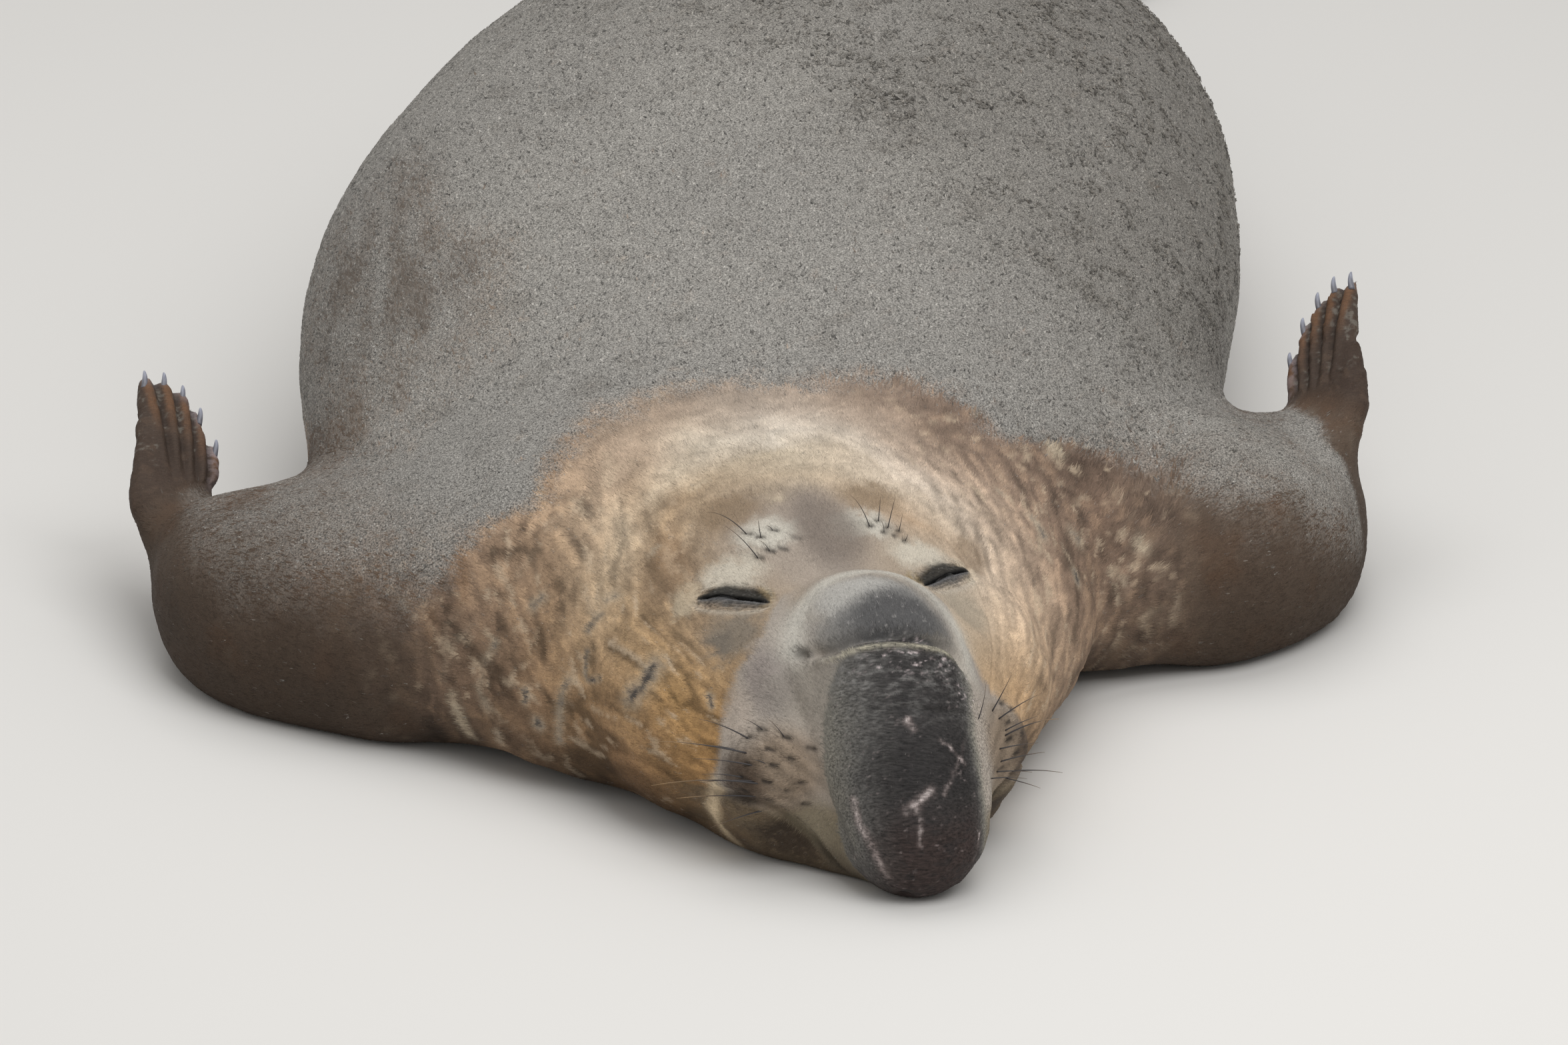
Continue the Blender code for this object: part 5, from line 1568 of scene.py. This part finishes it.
def fine_claw(node):
    """A smooth, curved horn along the middle line of the claw's solid, inside its surface."""
    points, faces = arrays_of(node.data)
    points = points + np.array(node.matrix_world.translation)
    middle = points.mean(axis=0)
    along = np.linalg.svd(points - middle, full_matrices=False)[2][0]
    along *= np.sign(along @ (0, 0.94, 0.34))
    place = (points - middle) @ along
    low, high = place.min(), place.max()
    line = np.polyfit(place, points, 2)
    stops = np.linspace(low, low + 0.86 * (high - low), CLAW_RINGS)[:, None]
    path = line[0] * stops ** 2 + line[1] * stops + line[2]
    t = np.linspace(0, 1, CLAW_RINGS)
    off = points - (line[0] * place[:, None] ** 2 + line[1] * place[:, None] + line[2])
    thick = np.median(np.linalg.norm(off, axis=1))
    radius = 0.98 * thick * (1 - 0.60 * t ** 1.5) * np.sqrt(np.clip(1.002 - t ** 8, 0, 1))
    made, faces, place = tube(path, radius * (1 + 0.012 * np.sin(t * 55)), CLAW_SIDES)
    share = step(place, 0.10, 0.90)[:, None]
    colours = np.array(CLAW_ROOT) * (1 - share) + np.array(CLAW_TIP) * share
    return tinted(Surface(made, faces).mesh(node.name + "_fine"), colours)


def fine_eye(eye, head_frame):
    """An eyeball of fine faces, with a dark iris and a pupil where it looks out of the lids."""
    look = eye.out @ head_frame.axes
    first = unit(np.cross(look, (0, 0, 1)))
    second = np.cross(look, first)
    tilts = np.linspace(0, math.pi, EYE_RINGS + 1)
    turns = np.arange(EYE_SIDES) * 2 * math.pi / EYE_SIDES
    middle = head_frame.point(*eye.ball)
    round_it = first * np.cos(turns)[:, None] + second * np.sin(turns)[:, None]
    circles = [
        middle + look * eye.radius * math.cos(t) + round_it * eye.radius * math.sin(t)
        for t in tilts[1:-1]
    ]
    points = np.vstack([*circles, middle + look * eye.radius, middle - look * eye.radius])
    rings, faces = EYE_RINGS - 1, []
    for ring in range(rings - 1):
        for k in range(EYE_SIDES):
            a, b = ring * EYE_SIDES + k, ring * EYE_SIDES + (k + 1) % EYE_SIDES
            faces += [(a, b + EYE_SIDES, b), (a, a + EYE_SIDES, b + EYE_SIDES)]
    front, rear = rings * EYE_SIDES, rings * EYE_SIDES + 1
    for k in range(EYE_SIDES):
        after = (k + 1) % EYE_SIDES
        last = (rings - 1) * EYE_SIDES
        faces += [(front, k, after), (rear, last + after, last + k)]
    tilt = np.arccos(np.clip(unit(points - middle) @ look, -1, 1))
    paint = Paint(np.tile(EYE_WHITE, (len(points), 1)))
    paint.over(IRIS, step(tilt, 0.95, 0.85))
    paint.over(PUPIL, step(tilt, 0.42, 0.36))
    return tinted(Surface(points, np.array(faces)).mesh("eye"), paint.colour)


# ---------------------------------------------------------------- materials
class Material:
    """A material and its nodes, made one at a time."""

    def __init__(self, name):
        self.data = bpy.data.materials.new(name)
        self.data.use_nodes = True
        self.tree = self.data.node_tree
        self.shader = self.tree.nodes["Principled BSDF"]

    def fill(self, node, values):
        """Sets or links a node's inputs, each given by its name or number."""
        for name, value in values.items():
            if isinstance(value, bpy.types.NodeSocket):
                self.tree.links.new(value, node.inputs[name])
            else:
                node.inputs[name].default_value = value

    def add(self, kind, output, values, **settings):
        """One output of a new node."""
        node = self.tree.nodes.new("ShaderNode" + kind)
        for name, value in settings.items():
            setattr(node, name, value)
        self.fill(node, values)
        return node.outputs[output]

    def attribute(self, name):
        return self.add("Attribute", "Color", {}, attribute_name=name)

    def math(self, operation, *values):
        return self.add("Math", 0, dict(enumerate(values)), operation=operation)

    def noise(self, place, scale, detail):
        return self.add("TexNoise", "Fac", {"Vector": place, "Scale": scale, "Detail": detail})

    def drawn_out(self, place, stretch):
        return self.add("Mapping", "Vector", {"Vector": place, "Scale": stretch})

    def finish(self, tint, factor, height, strength, distance, **sockets):
        """The tint times a factor as the colour, a bump, and the shader's other sockets."""
        colour = self.add("Mix", "Result", {"Factor": 1, "A": tint, "B": factor},
                          data_type="RGBA", blend_type="MULTIPLY")
        bump = self.add("Bump", "Normal", {"Strength": strength, "Distance": distance, "Height": height})
        self.fill(self.shader, {"Base Color": colour, "Normal": bump})
        self.fill(self.shader, {name.replace("_", " "): value for name, value in sockets.items()})
        return self.data


def coat_material(name, roughness):
    """Tinted by the mesh; grainy where sand lies, wrinkled where the skin is bare and leathery."""
    m = Material(name)
    kind = m.attribute("kind")
    sand = m.add("SeparateColor", "Red", {"Color": kind})
    bare = m.add("SeparateColor", "Green", {"Color": kind})
    place = m.add("TexCoord", "Object", {})
    grain, speck, hair = m.noise(place, 430, 3), m.noise(place, 900, 1), m.noise(place, 1300, 2)
    wrinkle = m.noise(m.drawn_out(place, (0.26, 1, 1)), 400, 4)

    def swing(texture, strength):
        return m.math("MULTIPLY", m.math("SUBTRACT", texture, 0.5), strength)

    # Light and dark: fine on hair, coarse and strong in sand, dark cracks on bare skin
    half_bare = m.math("MULTIPLY", sand, m.math("SUBTRACT", 1.0, sand))
    contrast = m.math("ADD", m.math("MULTIPLY_ADD", sand, 2.3, 0.55), m.math("MULTIPLY", half_bare, 6.0))
    dots = m.math("MULTIPLY", m.math("GREATER_THAN", speck, 0.60), m.math("MULTIPLY", sand, -0.42))
    cracks = swing(wrinkle, m.math("MULTIPLY", bare, 3.0))
    shades = m.math("ADD", swing(grain, contrast), swing(hair, 0.85))
    total = m.math("ADD", shades, m.math("ADD", dots, cracks))
    factor = m.math("MAXIMUM", m.math("ADD", total, 1.0), 0.1)

    rough = m.math("MULTIPLY", grain, m.math("MULTIPLY_ADD", sand, 1.3, 0.35))
    rough = m.math("ADD", rough, m.math("MULTIPLY", hair, 0.25))
    folds = m.math("MULTIPLY", wrinkle, m.math("MULTIPLY", bare, 1.6))
    return m.finish(
        m.attribute("tint"), factor, m.math("ADD", rough, folds), 0.6, 0.0012,
        Roughness=m.math("MULTIPLY_ADD", bare, -0.20, roughness), Specular_IOR_Level=0.22,
    )


def streaked_material(name, scale, stretch, depth, **sockets):
    """Tinted by the mesh and streaked by a noise drawn out along one axis: horn, hair or eye."""
    m = Material(name)
    place = m.add("TexCoord", "Object", {})
    streaks = m.noise(m.drawn_out(place, stretch), scale, 4)
    factor = m.add("MapRange", "Result", {
        "Value": streaks, "From Min": 0.3, "From Max": 0.7, "To Min": 1 - depth, "To Max": 1 + depth,
    })
    return m.finish(m.attribute("tint"), factor, streaks, depth, 0.0004, **sockets)


# ---------------------------------------------------------------- build
def linked(name, data):
    """A new object in the scene."""
    obj = bpy.data.objects.new(name, data)
    bpy.context.scene.collection.objects.link(obj)
    return obj


def show(name, mesh, material, slot, *nodes):
    """One piece: its mesh, its material, and the nodes it stands for; its slot is not used."""
    obj = linked(name, mesh)
    obj.data.materials.append(material)
    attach(obj, "root")
    if nodes:
        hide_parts(*nodes)


FLOOR_HALF = 40
SKY_STRENGTH = 0.50
# Lamps: place, what each looks at, size in metres and power in watts
LAMPS = {
    "key": ((1.6, -4.2, 5.0), (0, -1.0, 0.2), 4.0, 150),
    "top": ((-0.4, 0.6, 6.0), (0, 0, 0.2), 5.0, 125),
}


def studio():
    """The pale floor and the soft light."""
    mesh = bpy.data.meshes.new("floor")
    corners = [(x * FLOOR_HALF, y * FLOOR_HALF, 0) for x, y in ((-1, -1), (1, -1), (1, 1), (-1, 1))]
    mesh.from_pydata(corners, [], [(0, 1, 2, 3)])
    paint = Material("floor")
    paint.fill(paint.shader, {"Base Color": (*FLOOR, 1), "Roughness": 0.9})
    mesh.materials.append(paint.data)
    obj = linked("floor", mesh)
    world = bpy.data.worlds.new("studio")
    bpy.context.scene.world = world
    world.use_nodes = True
    sky = world.node_tree.nodes["Background"].inputs
    sky["Color"].default_value = (*SKY, 1)
    sky["Strength"].default_value = SKY_STRENGTH
    for name, (place, aim, size, power) in LAMPS.items():
        light = bpy.data.lights.new(name, "AREA")
        light.size = size
        light.energy = power
        lamp = linked(name, light)
        lamp.location = place
        lamp.rotation_euler = (Vector(aim) - Vector(place)).to_track_quat("-Z", "Y").to_euler()


def set_camera(head_frame):
    """The photograph's viewpoint and framing."""
    data = bpy.data.cameras.new("camera")
    data.lens = CAMERA_LENS
    data.sensor_width = CAMERA_SENSOR
    data.clip_end = 200
    camera = linked("camera", data)
    target = Vector(head_frame.origin) + Vector(CAMERA_TARGET)
    away = Vector((0, -math.cos(CAMERA_ELEVATION), math.sin(CAMERA_ELEVATION)))
    camera.location = target + away * CAMERA_DISTANCE
    camera.rotation_euler = (-away).to_track_quat("-Z", "Y").to_euler()
    bpy.context.scene.camera = camera


def build(head_frame):
    """Every piece of the seal."""
    eyes = [Eye(side, head_frame) for side in SIDES]
    hands = [Hand(side) for side in SIDES]
    skin, labels = sculpted_skin(head_frame, eyes, hands)
    shares = memberships(skin, labels)
    h = head_frame.coordinates(skin.points)
    colours, sand, cover = markings(h, skin.points, skin.normals(), labels, shares, eyes, hands)
    bare = np.clip(shares["nose"] * 0.9 + 0.25 * shares["hands"], 0, 1)
    for eye in eyes:
        x, y, near = eye.slit(h)
        bare = np.maximum(bare, near * step(np.abs(x), 1.3, 0.9) * step(np.abs(y), 0.030, 0.014) * 0.8)
    kinds = np.column_stack([cover, bare * (1 - cover), np.zeros(len(h))])
    on_skin = colours + (sand - colours) * cover[:, None]
    show("skin", tinted(skin.mesh("skin"), on_skin, kinds), coat_material("skin", 0.78), "body", *FLESH)
    hair = coat_material("hair", 0.74)
    rng = np.random.default_rng(SEED)
    for name, mesh in tuft_meshes(skin, labels, colours, sand, kinds, head_frame, eyes, rng):
        show(name, mesh, hair, COAT_SLOTS[name.split("_")[1]])
    bristle = streaked_material("whisker", 900, (1, 1, 1), 0.15, Roughness=0.45)
    show("whiskers", whiskers(skin, head_frame), bristle, "head")
    horn = streaked_material("horn", 500, (1, 0.15, 0.15), 0.30, Roughness=0.38, Coat_Weight=0.1)
    for hand in hands:
        for number in range(1, 6):
            name = f"claw_{hand.side}_{number}"
            show(name + "_fine", fine_claw(frame["nodes"][name]), horn, "claws", name)
    wet = streaked_material("wet_eye", 400, (1, 1, 1), 0.25, Roughness=0.30, Specular_IOR_Level=0.12)
    for eye in eyes:
        show(f"eye_{eye.side}_fine", fine_eye(eye, head_frame), wet, "eyes", f"eye_{eye.side}")


seal_head = HeadFrame()
build(seal_head)
studio()
set_camera(seal_head)
bpy.context.scene.view_settings.view_transform = "Standard"
